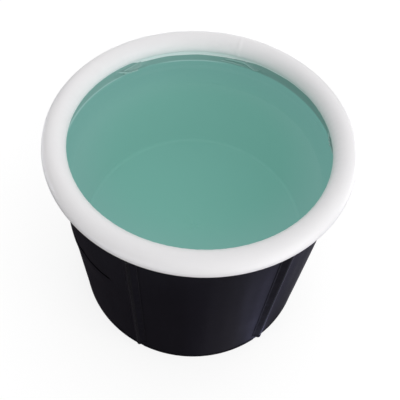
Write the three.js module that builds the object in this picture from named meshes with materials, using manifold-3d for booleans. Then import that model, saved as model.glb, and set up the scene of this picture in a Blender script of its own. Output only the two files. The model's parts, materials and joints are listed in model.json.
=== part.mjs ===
// Portable ice bath tub: a soft barrel of laminated sheet with an air-filled ring on its
// rim, held upright by rods in welded sleeves round the outside.
// Lengths are in millimetres, +Z is up and the origin is the centre of the underside.
// The front is -Y, midway between two rods. The air valve is at the back, +Y, and the drain
// is low on the left, beside the rod there.
import * as THREE from "three";
import { mergeVertices } from "three/addons/utils/BufferGeometryUtils.js";
import Module from "manifold-3d";

const wasm = await Module();
wasm.setup();

// The barrel
const totalHeight = 675;
const wallRadius = 375; // outer face of the wall
const outerSkinThickness = 1;
const wallFoamThickness = 5;
const linerThickness = 1;
const baseSkinThickness = 1.2;
const baseFoamThickness = 8;
const floorLinerThickness = 1;
const seatGap = 0.3; // clearance between pieces that rest on or in each other

// The air ring on the rim
const ringTubeRadius = 30;
const ringSetIn = 3; // how far the tube's centre line lies inside the wall's outer face
const ringSkinThickness = 1;
const collarThickness = 1; // the welded strips that join the ring to the wall
const collarDrop = 15;
const collarCurlAngle = 6; // degrees that each strip follows round the tube, past the foot of the ring

// The rods and their sleeves
const rodCount = 6;
const rodRadius = 6;
const rodWall = 1.5;
const rodPlugHead = 4;
const rodPlugDepth = 16;
const rodPlugRib = 0.8; // the plug's hollow stops this much above its head
const rodPlugWall = 1.5;
const sleeveThickness = 1;
const sleeveWidth = 42;
const sleeveWeldMargin = 7; // flat strip welded to the wall on each side
const sleeveFootHeight = 40; // bare wall below the sleeves
const sleeveHeadGap = 4; // from the collar down to the top of the sleeves

// The drain, low in the wall
const drainTurn = 100; // degrees from the front, -Y, round to the left, -X
const drainHeight = 52; // its axis above the floor
const drainBarrelRadius = 15.5;
const drainBoreRadius = 10;
const drainFlangeRadius = 28;
const drainFlangeThickness = 3.5;
const drainGasketThickness = 2.4;
const drainGasketMargin = 1.5; // the gaskets are this much smaller than the flange and the nut
const drainNutRadius = 26; // to the corners
const drainNutThickness = 7;
const drainNutCorners = 6;
const drainNeckLength = 1; // barrel that shows past the nut
const spoutRadius = 13.2; // outside of the hose thread
const spoutLength = 10;
const capWall = 2.6;
const capRibDepth = 1;
const capRibCount = 16;
const capWasherThickness = 1.5;
const plugHeadRadius = 15;
const plugHeadThickness = 3;
const plugStemLength = 12;
const plugTabWidth = 16;
const plugTabHeight = 14;
const plugTabThickness = 3;

// The air valve under the back of the ring
const valveDrop = 54; // degrees below level that the valve's axis points
const valveFlangeRadius = 11;
const valveFlangeRise = 1.4; // the flange's flat face above the tube's surface
const valveFlangeRim = 2; // thickness left at the flange's edge
const valveNeckRadius = 9;
const valveNeckWall = 2;
const valveNeckRise = 2.2; // above the flange
const valveNeckDepth = 9; // into the ring
const valveSealThickness = 0.8;
const valveHeadThickness = 1.2;
const valveInsertDepth = 9;
const valveInsertWall = 2;
const valveWebThickness = 1; // the perforated floor that the flap closes
const valveWebHoleRadius = 1.6;
const valveFlapThickness = 0.8;
const valveStemRadius = 0.9; // the flap's stem, through the floor
const valveCapThickness = 1.2;
const valveCapPlugDepth = 4;
const valveCapPlugTaper = 1.3;
const valveStrapWidth = 5;
const valveStrapReach = 1.5; // the strap past the valve's head, where it bends

// How finely round pieces are faceted
const barrelFacets = 72;
const tubeFacets = 16;
const rodFacets = 16;
const fittingFacets = 32;
const smallFacets = 20;
const collarCurlSteps = 3;
const sleeveArcSteps = 7;
const cutOverrun = 4; // how far a cutter passes the piece it cuts

// Radii and heights that follow from those
const outerSkinInner = wallRadius - outerSkinThickness;
const wallFoamOuter = outerSkinInner - seatGap;
const wallFoamInner = wallFoamOuter - wallFoamThickness;
const linerOuter = wallFoamInner - seatGap;
const linerInner = linerOuter - linerThickness;
const baseFoamBottom = baseSkinThickness + seatGap;
const baseFoamTop = baseFoamBottom + baseFoamThickness;
const floorLinerBottom = baseFoamTop + seatGap;
const ringRadius = wallRadius - ringSetIn;
const ringHeight = totalHeight - ringTubeRadius;
const wallTop = ringHeight - ringTubeRadius - seatGap;
const sleeveTop = wallTop - collarDrop - sleeveHeadGap;
const facetSlope = Math.tan(Math.PI / barrelFacets); // fall of the wall's facet beside a rod

const blackSheet = new THREE.MeshStandardMaterial({ color: 0x1a191e, roughness: 0.5 });
const mintSheet = new THREE.MeshStandardMaterial({ color: 0x8fcabb, roughness: 0.35 });
const whiteSheet = new THREE.MeshStandardMaterial({ color: 0xe9e9eb, roughness: 0.38 });
const greyFoam = new THREE.MeshStandardMaterial({ color: 0xb9bcbe, roughness: 0.9 });
const whitePlastic = new THREE.MeshStandardMaterial({ color: 0xe2e2df, roughness: 0.4 });
const blackPlastic = new THREE.MeshStandardMaterial({ color: 0x222225, roughness: 0.45 });
const blackRubber = new THREE.MeshStandardMaterial({ color: 0x161616, roughness: 0.8 });
const clearVinyl = new THREE.MeshStandardMaterial({ color: 0xd7dcdc, roughness: 0.3 });

const radians = THREE.MathUtils.degToRad;

// A solid of revolution about Z. The profile is a list of [radius, height] points that goes
// anticlockwise, and starts and ends on the axis or is closed by its first point.
function turned(profile, facets = barrelFacets) {
  const onAxis = profile[0][0] === 0;
  const points = (onAxis ? profile : [...profile, profile[0]]).map(([r, z]) => new THREE.Vector2(r, z));
  return new THREE.LatheGeometry(points, facets).rotateX(Math.PI / 2);
}

// A round tube about Z between two radii and two heights.
function tube(inner, outer, bottom, top, facets) {
  return turned([[inner, bottom], [outer, bottom], [outer, top], [inner, top]], facets);
}

// A plain disc about Z.
function disc(radius, bottom, top, facets) {
  return turned([[0, bottom], [radius, bottom], [radius, top], [0, top]], facets);
}

// A flat outline of [x, y] points, with holes, raised from one height to another.
function raised(outline, bottom, top, holes = []) {
  const shape = new THREE.Shape(outline.map(([x, y]) => new THREE.Vector2(x, y)));
  shape.holes = holes;
  const settings = { depth: top - bottom, bevelEnabled: false, curveSegments: smallFacets / 2 };
  return new THREE.ExtrudeGeometry(shape, settings).translate(0, 0, bottom);
}

function roundHole(x, y, radius) {
  return new THREE.Path().absarc(x, y, radius, 0, 2 * Math.PI, true);
}

// A manifold-3d solid of a geometry, and the way back.
function solid(geometry, matrix = new THREE.Matrix4()) {
  const bare = new THREE.BufferGeometry();
  bare.setAttribute("position", geometry.getAttribute("position").clone());
  bare.setIndex(geometry.index);
  const merged = mergeVertices(bare.applyMatrix4(matrix));
  return new wasm.Manifold(
    new wasm.Mesh({
      numProp: 3,
      vertProperties: merged.getAttribute("position").array,
      triVerts: new Uint32Array(merged.index.array),
    }),
  );
}

function geometryOf(manifold) {
  const mesh = manifold.getMesh();
  const geometry = new THREE.BufferGeometry();
  geometry.setAttribute("position", new THREE.BufferAttribute(mesh.vertProperties, 3));
  geometry.setIndex(new THREE.BufferAttribute(mesh.triVerts, 1));
  geometry.computeVertexNormals();
  return geometry;
}

function piece(name, geometry, material) {
  const mesh = new THREE.Mesh(geometry, material);
  mesh.name = name;
  return mesh;
}

const tub = new THREE.Group();
tub.name = "ice_bath_tub";

// The drain's group lies across the tub: its own Z is the distance from the tub's axis.
const drainSide = new THREE.Group();
drainSide.rotation.z = Math.PI - radians(drainTurn);
tub.add(drainSide);
const drain = new THREE.Group();
drain.position.set(0, 0, drainHeight);
drain.rotation.x = -Math.PI / 2;
drainSide.add(drain);

// The valve's group starts at the centre of the ring's tube, with Z along the valve.
const valve = new THREE.Group();
valve.position.set(0, ringRadius, ringHeight);
valve.rotation.x = -radians(90 + valveDrop);
tub.add(valve);
tub.updateMatrixWorld(true);

// The barrel's wall: three layers, each with the drain's hole
function wallLayer(name, inner, outer, bottom, material) {
  const layer = solid(tube(inner, outer, bottom, wallTop));
  const hole = disc(drainBarrelRadius + seatGap, inner - cutOverrun, outer + cutOverrun, fittingFacets);
  return piece(name, geometryOf(layer.subtract(solid(hole, drain.matrixWorld))), material);
}

tub.add(
  wallLayer("outer_wall", outerSkinInner, wallRadius, baseFoamBottom, blackSheet),
  wallLayer("wall_foam", wallFoamInner, wallFoamOuter, baseFoamBottom, greyFoam),
  wallLayer("liner_wall", linerInner, linerOuter, floorLinerBottom, mintSheet),
);

// The base: skin, foam pad and the floor of the liner
tub.add(
  piece("base_skin", disc(wallRadius, 0, baseSkinThickness), blackSheet),
  piece("base_foam", disc(wallFoamInner - seatGap, baseFoamBottom, baseFoamTop), greyFoam),
  piece(
    "liner_floor",
    disc(linerInner - seatGap, floorLinerBottom, floorLinerBottom + floorLinerThickness),
    mintSheet,
  ),
);

// The air ring: a hollow tube, open where the valve's neck goes in
function ringTube(radius) {
  return new THREE.TorusGeometry(ringRadius, radius, tubeFacets, barrelFacets).translate(0, 0, ringHeight);
}

const neckHole = disc(
  valveNeckRadius + seatGap,
  ringTubeRadius - valveNeckDepth - cutOverrun,
  ringTubeRadius + cutOverrun,
  smallFacets,
);
const airRing = solid(ringTube(ringTubeRadius))
  .subtract(solid(ringTube(ringTubeRadius - ringSkinThickness)))
  .subtract(solid(neckHole, valve.matrixWorld));
tub.add(piece("air_ring", geometryOf(airRing), whiteSheet));

// A collar is a band on the wall that curls under the ring. side is 1 outside the wall and
// -1 inside it, and face is the radius of the wall's face that the band lies on.
function collar(name, side, face, material) {
  const near = face + side * seatGap;
  const far = near + side * collarThickness;
  const curl = (radius, start) => {
    const first = Math.asin(Math.abs(start - ringRadius) / radius);
    return Array.from({ length: collarCurlSteps + 1 }, (_, i) => {
      const angle = first + (radians(collarCurlAngle) * i) / collarCurlSteps;
      return [ringRadius + side * radius * Math.sin(angle), ringHeight - radius * Math.cos(angle)];
    });
  };
  const inside = curl(ringTubeRadius + seatGap, near);
  const outside = curl(ringTubeRadius + seatGap + collarThickness, far);
  const foot = wallTop - collarDrop;
  const profile = [[near, foot], [far, foot], ...outside, ...inside.reverse()];
  return piece(name, turned(side > 0 ? profile : profile.reverse()), material);
}

tub.add(
  collar("outer_collar", 1, wallRadius, blackSheet),
  collar("inner_collar", -1, linerInner, whiteSheet),
);

// A rod with its end plugs, and the sleeve that holds it. Each is made at the +X side and
// turned to its place.
const rodCentre = wallRadius + seatGap + rodRadius;
const wallFace = (y) => wallRadius + seatGap - Math.abs(y) * facetSlope;

// Half of the sleeve's section, from the weld to the crown, as [x, y] points: a line that
// leaves the wall at foot and is tangent to the arch over the rod.
function tentSide(foot, rise, archRadius) {
  const x = wallFace(foot) + rise - rodCentre;
  const away = Math.hypot(x, foot);
  const touch = Math.atan2(foot, x) - Math.acos(archRadius / away);
  const arch = Array.from({ length: sleeveArcSteps }, (_, i) => {
    const angle = touch * (1 - i / sleeveArcSteps);
    return [rodCentre + archRadius * Math.cos(angle), archRadius * Math.sin(angle)];
  });
  return [[wallFace(foot) + rise, foot], ...arch];
}

const mirrored = (side) => side.map(([x, y]) => [x, -y]).reverse();

function sleeve() {
  const edge = sleeveWidth / 2;
  const weld = edge - sleeveWeldMargin;
  const archInside = rodRadius + seatGap;
  const archOutside = archInside + sleeveThickness;
  const outside = [
    [wallFace(edge), edge],
    [wallFace(edge) + sleeveThickness, edge],
    ...tentSide(weld, sleeveThickness, archOutside),
    [rodCentre + archOutside, 0],
  ];
  const inside = [...tentSide(weld - sleeveThickness, 0, archInside), [rodCentre + archInside, 0]];
  const crown = outside.slice(0, -1);
  const cavity = inside.slice(0, -1);
  const farCavity = cavity.map(([x, y]) => [x, -y]);
  const skin = [...outside, ...mirrored(crown), ...farCavity, ...[...inside].reverse()];
  const closed = [...outside, ...mirrored(crown), [wallFace(0), 0]];
  const walls = solid(raised(skin.reverse(), sleeveFootHeight, sleeveTop));
  const end = solid(raised(closed.reverse(), sleeveTop - sleeveThickness, sleeveTop));
  return geometryOf(walls.add(end));
}

const rodBottom = sleeveFootHeight;
const rodTop = sleeveTop - sleeveThickness - seatGap;

// An end plug: a head as wide as the rod and a hollow stem inside it, standing on its head
function rodPlug() {
  const stem = rodRadius - rodWall - seatGap;
  const bore = stem - rodPlugWall;
  const top = rodPlugHead + rodPlugDepth;
  const floor = rodPlugHead + rodPlugRib;
  const outside = [[0, 0], [rodRadius, 0], [rodRadius, rodPlugHead], [stem, rodPlugHead], [stem, top]];
  return turned([...outside, [bore, top], [bore, floor], [0, floor]], rodFacets);
}

for (let i = 0; i < rodCount; i++) {
  const station = new THREE.Group();
  station.rotation.z = -Math.PI / 2 + (2 * Math.PI * (i + 0.5)) / rodCount;
  const number = i + 1;
  const head = rodPlugHead + seatGap;
  const rod = tube(rodRadius - rodWall, rodRadius, rodBottom + head, rodTop - head, rodFacets);
  const rodMesh = piece(`rod_${number}`, rod, whitePlastic);
  const foot = piece(`rod_foot_${number}`, rodPlug(), blackPlastic);
  const cap = piece(`rod_cap_${number}`, rodPlug(), blackPlastic);
  rodMesh.position.x = rodCentre;
  foot.position.set(rodCentre, 0, rodBottom);
  cap.position.set(rodCentre, 0, rodTop);
  cap.rotation.x = Math.PI;
  station.add(piece(`rod_sleeve_${number}`, sleeve(), blackSheet), rodMesh, foot, cap);
  tub.add(station);
}

// The drain: a flanged barrel through the wall, clamped by a nut on two gaskets that are
// shaped to the wall, with a hose thread outside, a screw cap on it and a plug inside
const gasketRadius = drainFlangeRadius - drainGasketMargin;
const gasketBore = drainBarrelRadius + seatGap;
const innerSeat = linerInner - seatGap;
const outerSeat = wallRadius + seatGap;
const chordDepth = (radius, reach) => radius - Math.sqrt(radius * radius - reach * reach);
const innerGasketFace = innerSeat - chordDepth(innerSeat, gasketRadius) - drainGasketThickness;
const outerGasketFace = outerSeat + drainGasketThickness;
const flangeFace = innerGasketFace - seatGap;
const flangeInside = flangeFace - drainFlangeThickness;
const nutInside = outerGasketFace + seatGap;
const nutOutside = nutInside + drainNutThickness;
const barrelEnd = nutOutside + drainNeckLength;
const spoutEnd = barrelEnd + spoutLength;

// The wall as a round bar: its axis is the group's Y.
const wallBar = (radius) => {
  return solid(new THREE.CylinderGeometry(radius, radius, 4 * gasketRadius, barrelFacets));
};
const innerGasket = solid(
  tube(gasketBore, gasketRadius, innerGasketFace, innerSeat + cutOverrun, fittingFacets),
);
const outerReach = drainNutRadius - drainGasketMargin;
const outerGasket = solid(
  tube(gasketBore, outerReach, outerSeat - cutOverrun, outerGasketFace, fittingFacets),
);
drain.add(
  piece("drain_inner_gasket", geometryOf(innerGasket.intersect(wallBar(innerSeat))), blackRubber),
  piece("drain_outer_gasket", geometryOf(outerGasket.subtract(wallBar(outerSeat))), blackRubber),
);

const fittingProfile = [
  [drainBoreRadius, flangeInside],
  [drainFlangeRadius, flangeInside],
  [drainFlangeRadius, flangeFace],
  [drainBarrelRadius, flangeFace],
  [drainBarrelRadius, barrelEnd],
  [spoutRadius, barrelEnd],
  [spoutRadius, spoutEnd],
  [drainBoreRadius, spoutEnd],
];
drain.add(piece("drain_fitting", turned(fittingProfile, fittingFacets), blackPlastic));

const nutOutline = Array.from({ length: drainNutCorners }, (_, i) => {
  const angle = (2 * Math.PI * i) / drainNutCorners;
  return [drainNutRadius * Math.cos(angle), drainNutRadius * Math.sin(angle)];
});
const nut = raised(nutOutline, nutInside, nutOutside, [roundHole(0, 0, gasketBore)]);
drain.add(piece("drain_nut", nut, blackPlastic));

// The cap's skirt is ribbed for the hand, and its floor presses a washer on the spout's end.
const washerInside = spoutEnd + seatGap;
const washerOutside = washerInside + capWasherThickness;
const capBore = spoutRadius + seatGap;
const capRadius = capBore + capWall;
const capFloor = washerOutside + seatGap;
const capSkirt = barrelEnd + seatGap;
const ribOutline = Array.from({ length: 4 * capRibCount }, (_, i) => {
  const angle = (2 * Math.PI * (i + 0.5)) / (4 * capRibCount);
  const radius = i % 4 < 2 ? capRadius : capRadius - capRibDepth;
  return [radius * Math.cos(angle), radius * Math.sin(angle)];
});
const capSolid = solid(raised(ribOutline, capSkirt, capFloor + capWall)).subtract(
  solid(disc(capBore, capSkirt - cutOverrun, capFloor, fittingFacets)),
);
drain.add(
  piece("drain_cap_washer", disc(spoutRadius, washerInside, washerOutside, fittingFacets), blackRubber),
  piece("drain_cap", geometryOf(capSolid), blackPlastic),
);

// The plug stops the bore from inside the tub, and its tab is pulled to empty it.
const plugHeadOutside = flangeInside - seatGap;
const plugHeadInside = plugHeadOutside - plugHeadThickness;
const plugStem = drainBoreRadius - seatGap;
const plugBody = turned(
  [
    [0, plugHeadInside],
    [plugHeadRadius, plugHeadInside],
    [plugHeadRadius, plugHeadOutside],
    [plugStem, plugHeadOutside],
    [plugStem, plugHeadOutside + plugStemLength],
    [0, plugHeadOutside + plugStemLength],
  ],
  fittingFacets,
);
const tabOutline = [
  [-plugTabWidth / 2, 0],
  [plugTabWidth / 2, 0],
  [plugTabWidth / 2, plugTabHeight / 2],
  [plugTabWidth / 4, plugTabHeight],
  [-plugTabWidth / 4, plugTabHeight],
  [-plugTabWidth / 2, plugTabHeight / 2],
];
const tabShape = raised(tabOutline, -plugTabThickness / 2, plugTabThickness / 2);
const tabPlace = tabShape.rotateX(-Math.PI / 2).translate(0, 0, plugHeadInside + plugHeadThickness / 2);
drain.add(piece("drain_plug", geometryOf(solid(plugBody).add(solid(tabPlace))), blackRubber));

// The air valve: a flange shaped to the ring with a neck, a screwed insert on a seal, the
// flap under the insert's floor and a cap on a strap
const flangeTop = ringTubeRadius + valveFlangeRise;
const flangeBottom = ringTubeRadius - chordDepth(ringTubeRadius, valveFlangeRadius) - valveFlangeRim;
const neckTop = flangeTop + valveNeckRise;
const neckBore = valveNeckRadius - valveNeckWall;
const ringInValve = solid(ringTube(ringTubeRadius + seatGap), valve.matrixWorld.clone().invert());
const valveFlange = solid(tube(neckBore, valveFlangeRadius, flangeBottom, flangeTop, smallFacets));
const valveNeck = solid(
  tube(neckBore, valveNeckRadius, ringTubeRadius - valveNeckDepth, neckTop, smallFacets),
);
valve.add(piece("valve_base", geometryOf(valveFlange.subtract(ringInValve).add(valveNeck)), clearVinyl));

const sealTop = neckTop + seatGap + valveSealThickness;
const valveSeal = tube(neckBore, valveNeckRadius, neckTop + seatGap, sealTop, smallFacets);
valve.add(piece("valve_seal", valveSeal, blackRubber));

// The insert has a head, a stem in the neck and a floor with vent holes round the flap's stem.
const headBottom = sealTop + seatGap;
const headTop = headBottom + valveHeadThickness;
const insertRadius = neckBore - seatGap;
const insertBore = insertRadius - valveInsertWall;
const insertBottom = headBottom - valveInsertDepth;
const insertFloorTop = insertBottom + valveWebThickness;
const insertShell = solid(
  turned(
    [
      [insertBore, insertBottom],
      [insertRadius, insertBottom],
      [insertRadius, headBottom],
      [valveNeckRadius, headBottom],
      [valveNeckRadius, headTop],
      [insertBore, headTop],
    ],
    smallFacets,
  ),
);
const stemHole = valveStemRadius + seatGap;
const ventPitch = (insertBore + stemHole) / 2;
const vents = [0, 1, 2, 3].map((i) => {
  const angle = (Math.PI * i) / 2;
  return roundHole(ventPitch * Math.cos(angle), ventPitch * Math.sin(angle), valveWebHoleRadius / 2);
});
const webOutline = Array.from({ length: smallFacets }, (_, i) => {
  const angle = (2 * Math.PI * i) / smallFacets;
  const reach = (insertBore + insertRadius) / 2;
  return [reach * Math.cos(angle), reach * Math.sin(angle)];
});
const web = solid(raised(webOutline, insertBottom, insertFloorTop, [roundHole(0, 0, stemHole), ...vents]));
const strapRoot = valveNeckRadius + valveStrapReach;
const half = valveStrapWidth / 2;
const lugOutline = [[insertRadius, -half], [strapRoot, -half], [strapRoot, half], [insertRadius, half]];
const lug = solid(raised(lugOutline, headBottom, headTop));
valve.add(piece("valve_insert", geometryOf(insertShell.add(web).add(lug)), clearVinyl));

// The flap hangs under the floor on a stem with a barb above it.
const flapTop = insertBottom - seatGap;
const flapBottom = flapTop - valveFlapThickness;
const barbBottom = insertFloorTop + seatGap;
const flapProfile = [
  [0, flapBottom],
  [insertRadius, flapBottom],
  [insertRadius, flapTop],
  [valveStemRadius, flapTop],
  [valveStemRadius, barbBottom],
  [stemHole + seatGap, barbBottom],
  [valveStemRadius, barbBottom + valveStemRadius],
  [0, barbBottom + valveStemRadius],
];
valve.add(piece("valve_flap", turned(flapProfile, smallFacets), blackRubber));

// The cap: a tapered plug under a disc, with a strap to the insert's lug. It opens about
// the strap's end, which is the joint's axis.
const capBottom = headTop + seatGap;
const capTop = capBottom + valveCapThickness;
const capPlug = insertBore - seatGap;
const capStrap = [[0, -half], [strapRoot + seatGap, -half], [strapRoot + seatGap, half], [0, half]];
const capDisc = turned(
  [
    [0, capBottom - valveCapPlugDepth],
    [capPlug - valveCapPlugTaper, capBottom - valveCapPlugDepth],
    [capPlug, capBottom],
    [valveNeckRadius, capBottom],
    [valveNeckRadius, capTop],
    [0, capTop],
  ],
  smallFacets,
);
const strapSolid = solid(raised(capStrap, capBottom, capTop));
valve.add(piece("valve_cap", geometryOf(solid(capDisc).add(strapSolid)), clearVinyl));

export default tub;
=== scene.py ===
# %% [markdown]
# # A portable ice bath tub
# The tub is a soft barrel of black coated cloth with a mint-green liner, a white air-filled
# ring on its rim, and six rods in sleeves that hold its wall upright. The frame gives every
# piece its place and size in metres, +Z up, with -Y to the front. This script gives each
# piece its real surface: cloth that bulges and creases, welded sheet, and turned fittings.

import json
from math import atan2, cos, degrees, pi, radians, sin, sqrt, tan

import bmesh
import bpy
import numpy as np
from mathutils import Matrix, Vector


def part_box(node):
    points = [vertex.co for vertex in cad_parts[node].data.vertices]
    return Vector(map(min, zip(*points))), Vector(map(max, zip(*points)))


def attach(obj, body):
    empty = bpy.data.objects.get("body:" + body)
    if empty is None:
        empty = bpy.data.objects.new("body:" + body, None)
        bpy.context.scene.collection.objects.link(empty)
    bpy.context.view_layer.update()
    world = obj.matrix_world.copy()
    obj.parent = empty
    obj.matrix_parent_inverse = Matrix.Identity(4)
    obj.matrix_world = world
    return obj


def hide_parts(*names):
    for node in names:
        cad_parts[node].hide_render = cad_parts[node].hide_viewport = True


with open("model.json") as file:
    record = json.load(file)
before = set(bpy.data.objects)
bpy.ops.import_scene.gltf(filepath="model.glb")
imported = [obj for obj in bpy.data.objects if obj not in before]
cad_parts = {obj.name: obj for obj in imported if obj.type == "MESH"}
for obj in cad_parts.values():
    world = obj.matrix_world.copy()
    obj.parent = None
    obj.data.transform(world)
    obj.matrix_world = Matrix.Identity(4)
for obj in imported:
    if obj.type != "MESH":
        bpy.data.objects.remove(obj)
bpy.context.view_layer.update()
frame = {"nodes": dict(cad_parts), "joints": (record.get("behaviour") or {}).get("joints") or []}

# %% [markdown]
# ## Sizes from the frame
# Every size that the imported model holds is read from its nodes, so a changed model brings
# changed looks. Pieces that lie on each other keep the same small gap everywhere. The sizes
# that only the eye needs, such as a stitch or a fold, are named where their piece is made.

# %% Read the barrel's sizes
mm = 0.001
fit_gap = 0.3 * mm
wall_low, wall_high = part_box("outer_wall")
wall_radius, wall_foot, wall_top = wall_high[0], wall_low[2], wall_high[2]
liner_low, liner_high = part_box("liner_wall")
liner_outer, liner_foot = liner_high[0], liner_low[2]
sheet_thickness = 1 * mm
liner_radius = liner_outer - sheet_thickness
floor_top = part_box("liner_floor")[1][2]
ring_low, ring_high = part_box("air_ring")
tube_radius = (ring_high[2] - ring_low[2]) / 2
ring_radius = ring_high[0] - tube_radius
ring_height = (ring_high[2] + ring_low[2]) / 2
print(f"barrel {2 * wall_radius:.3f} across, ring tube {2 * tube_radius:.3f} thick")

# %% Find the rods
rod_count = 6


def azimuth_of(node):
    """Degrees from the front, -Y, round to the right, +X, of a node's centre."""
    low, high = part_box(node)
    return degrees(atan2(low[0] + high[0], -(low[1] + high[1])))


rod_azimuths = [azimuth_of(f"rod_{number}") for number in range(1, rod_count + 1)]
print("rods at", [round(azimuth) for azimuth in rod_azimuths])

# %% [markdown]
# ## The camera
# The photograph looks down into the tub from the front, a little from the left, with the
# camera tilted slightly. These values were fitted to the outlines of the ring and the wall,
# and the lens follows from the picture's size.

# %% Place the camera
picture_size = 400
focal_pixels = 500.5
camera_distance = 1.3035
camera_azimuth = -7.6
camera_elevation = 48.07
camera_pitch = -7.457
camera_yaw = -0.438
camera_roll = -4.298


def turn(axis, angle):
    return Matrix.Rotation(radians(angle), 3, axis)


def place_camera():
    data = bpy.data.cameras.new("photo_camera")
    data.lens = focal_pixels / picture_size * data.sensor_width
    camera = bpy.data.objects.new("photo_camera", data)
    bpy.context.collection.objects.link(camera)
    rise = radians(camera_elevation)
    ahead = Vector((0, cos(rise), -sin(rise)))
    right = Vector((1, 0, 0))
    up = right.cross(ahead)
    aim = turn(right, camera_pitch) @ turn(up, camera_yaw)
    aimed = [aim @ axis for axis in (right, up, ahead)]
    roll = turn(aimed[2], camera_roll)
    axes = [roll @ aimed[0], roll @ aimed[1], -aimed[2]]
    place = Matrix(axes).transposed().to_4x4()
    place.translation = -ahead * camera_distance
    ring_centre = Matrix.Translation((0, 0, ring_height))
    camera.matrix_world = ring_centre @ Matrix.Rotation(radians(camera_azimuth), 4, "Z") @ place
    bpy.context.scene.camera = camera
    return camera


camera = place_camera()
print("camera at", [round(value, 3) for value in camera.matrix_world.translation])

# %% [markdown]
# ## Shader sums
# A pattern such as a weave is a formula on the surface's coordinates. Wrapping a socket in
# a small class lets the formula be written as Python, and each operator adds the Math node
# that it stands for. Colours go through Mix nodes instead, since Math would turn them grey.

# %% Wrap a socket
class Wire:
    """An output socket that can be added, multiplied and compared."""

    def __init__(self, finish, socket):
        self.finish = finish
        self.socket = socket

    def math(self, operation, first, second=0.0):
        return self.finish.node("ShaderNodeMath", {"operation": operation}, {0: first, 1: second})

    def __add__(self, other):
        return self.math("ADD", self, other)

    __radd__ = __add__

    def __sub__(self, other):
        return self.math("SUBTRACT", self, other)

    def __rsub__(self, other):
        return self.math("SUBTRACT", other, self)

    def __mul__(self, other):
        return self.math("MULTIPLY", self, other)

    __rmul__ = __mul__

    def __truediv__(self, other):
        return self.math("DIVIDE", self, other)

    def __rtruediv__(self, other):
        return self.math("DIVIDE", other, self)

    def __pow__(self, other):
        return self.math("POWER", self, other)

    def __abs__(self):
        return self.math("ABSOLUTE", self)

    def sin(self):
        return self.math("SINE", self)

    def step(self, start, end):
        """0 below start, 1 above end, and smooth between them."""
        settings = {"interpolation_type": "SMOOTHSTEP"}
        return self.finish.node("ShaderNodeMapRange", settings, {0: self, 1: start, 2: end})

    def within(self, start, begun, fading, end):
        """1 from begun to fading, 0 before start and after end, and smooth between them."""
        return self.step(start, begun) * (1 - self.step(fading, end))


# %% Build a material
class Finish:
    """A material in the making, and the record's slot that it belongs to. The sky's light
    is built in the same way."""

    def __init__(self, name, slot=None, made_in=bpy.data.materials, ends_in="Material"):
        self.slot = slot
        self.material = made_in.new(name)
        self.material.use_nodes = True
        self.tree = self.material.node_tree
        self.tree.nodes.clear()
        self.output = self.tree.nodes.new("ShaderNodeOutput" + ends_in)

    def node(self, kind, settings=None, inputs=None, output=0):
        """Adds a node, with its settings first and its inputs as values or wires."""
        made = self.tree.nodes.new(kind)
        for key, value in (settings or {}).items():
            if key == "stops":
                self.set_stops(made.color_ramp, value)
            else:
                setattr(made, key, value)
        for key, value in (inputs or {}).items():
            if isinstance(value, Wire):
                self.tree.links.new(value.socket, made.inputs[key])
            else:
                made.inputs[key].default_value = value
        return Wire(self, made.outputs[output])

    def set_stops(self, ramp, stops):
        """The ramp's stops, as pairs of a position and a colour."""
        ramp.elements.remove(ramp.elements[1])
        ramp.elements[0].position = stops[0][0]
        for position, _ in stops[1:]:
            ramp.elements.new(position)
        for element, (_, colour) in zip(ramp.elements, stops):
            element.color = (*colour, 1)

    def place(self):
        """The object's own coordinates in metres, or the direction in the sky."""
        return self.node("ShaderNodeTexCoord", output="Object")

    def split(self, vector):
        """The three parts of a vector."""
        return [self.node("ShaderNodeSeparateXYZ", None, {0: vector}, axis) for axis in range(3)]

    def stretched(self, vector, scale):
        """The vector with each part times its scale, to draw a pattern out."""
        return self.node("ShaderNodeMapping", None, {"Vector": vector, "Scale": scale})

    def noise(self, vector, per_metre, detail=3.0, roughness=0.5):
        inputs = {"Vector": vector, "Scale": per_metre, "Detail": detail, "Roughness": roughness}
        return self.node("ShaderNodeTexNoise", None, inputs)

    def mix(self, factor, first, second):
        """One colour changing to another."""
        inputs = {0: factor, 6: first, 7: second}
        return self.node("ShaderNodeMix", {"data_type": "RGBA"}, inputs, 2)

    def bump(self, height, depth):
        """A relief of so many metres for a height of 1."""
        return self.node("ShaderNodeBump", None, {"Height": height, "Distance": depth})

    def ray(self, kind):
        """1 for rays of that kind, and 0 for the others."""
        return self.node("ShaderNodeLightPath", output=f"Is {kind} Ray")

    def glow(self, colour, strength=1.0):
        return self.node("ShaderNodeEmission", None, {"Color": colour, "Strength": strength})

    def blend(self, share, first, second):
        """One shader changing to another."""
        return self.node("ShaderNodeMixShader", None, {0: share, 1: first, 2: second})

    def surface(self, shader):
        """Ends the material in a shader."""
        self.tree.links.new(shader.socket, self.output.inputs["Surface"])
        return self

    def shader(self, **values):
        """A Principled shader, whose inputs are named with _ for each space."""
        inputs = {name.replace("_", " "): value for name, value in values.items()}
        return self.node("ShaderNodeBsdfPrincipled", None, inputs)

    def principled(self, **values):
        return self.surface(self.shader(**values))
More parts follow.
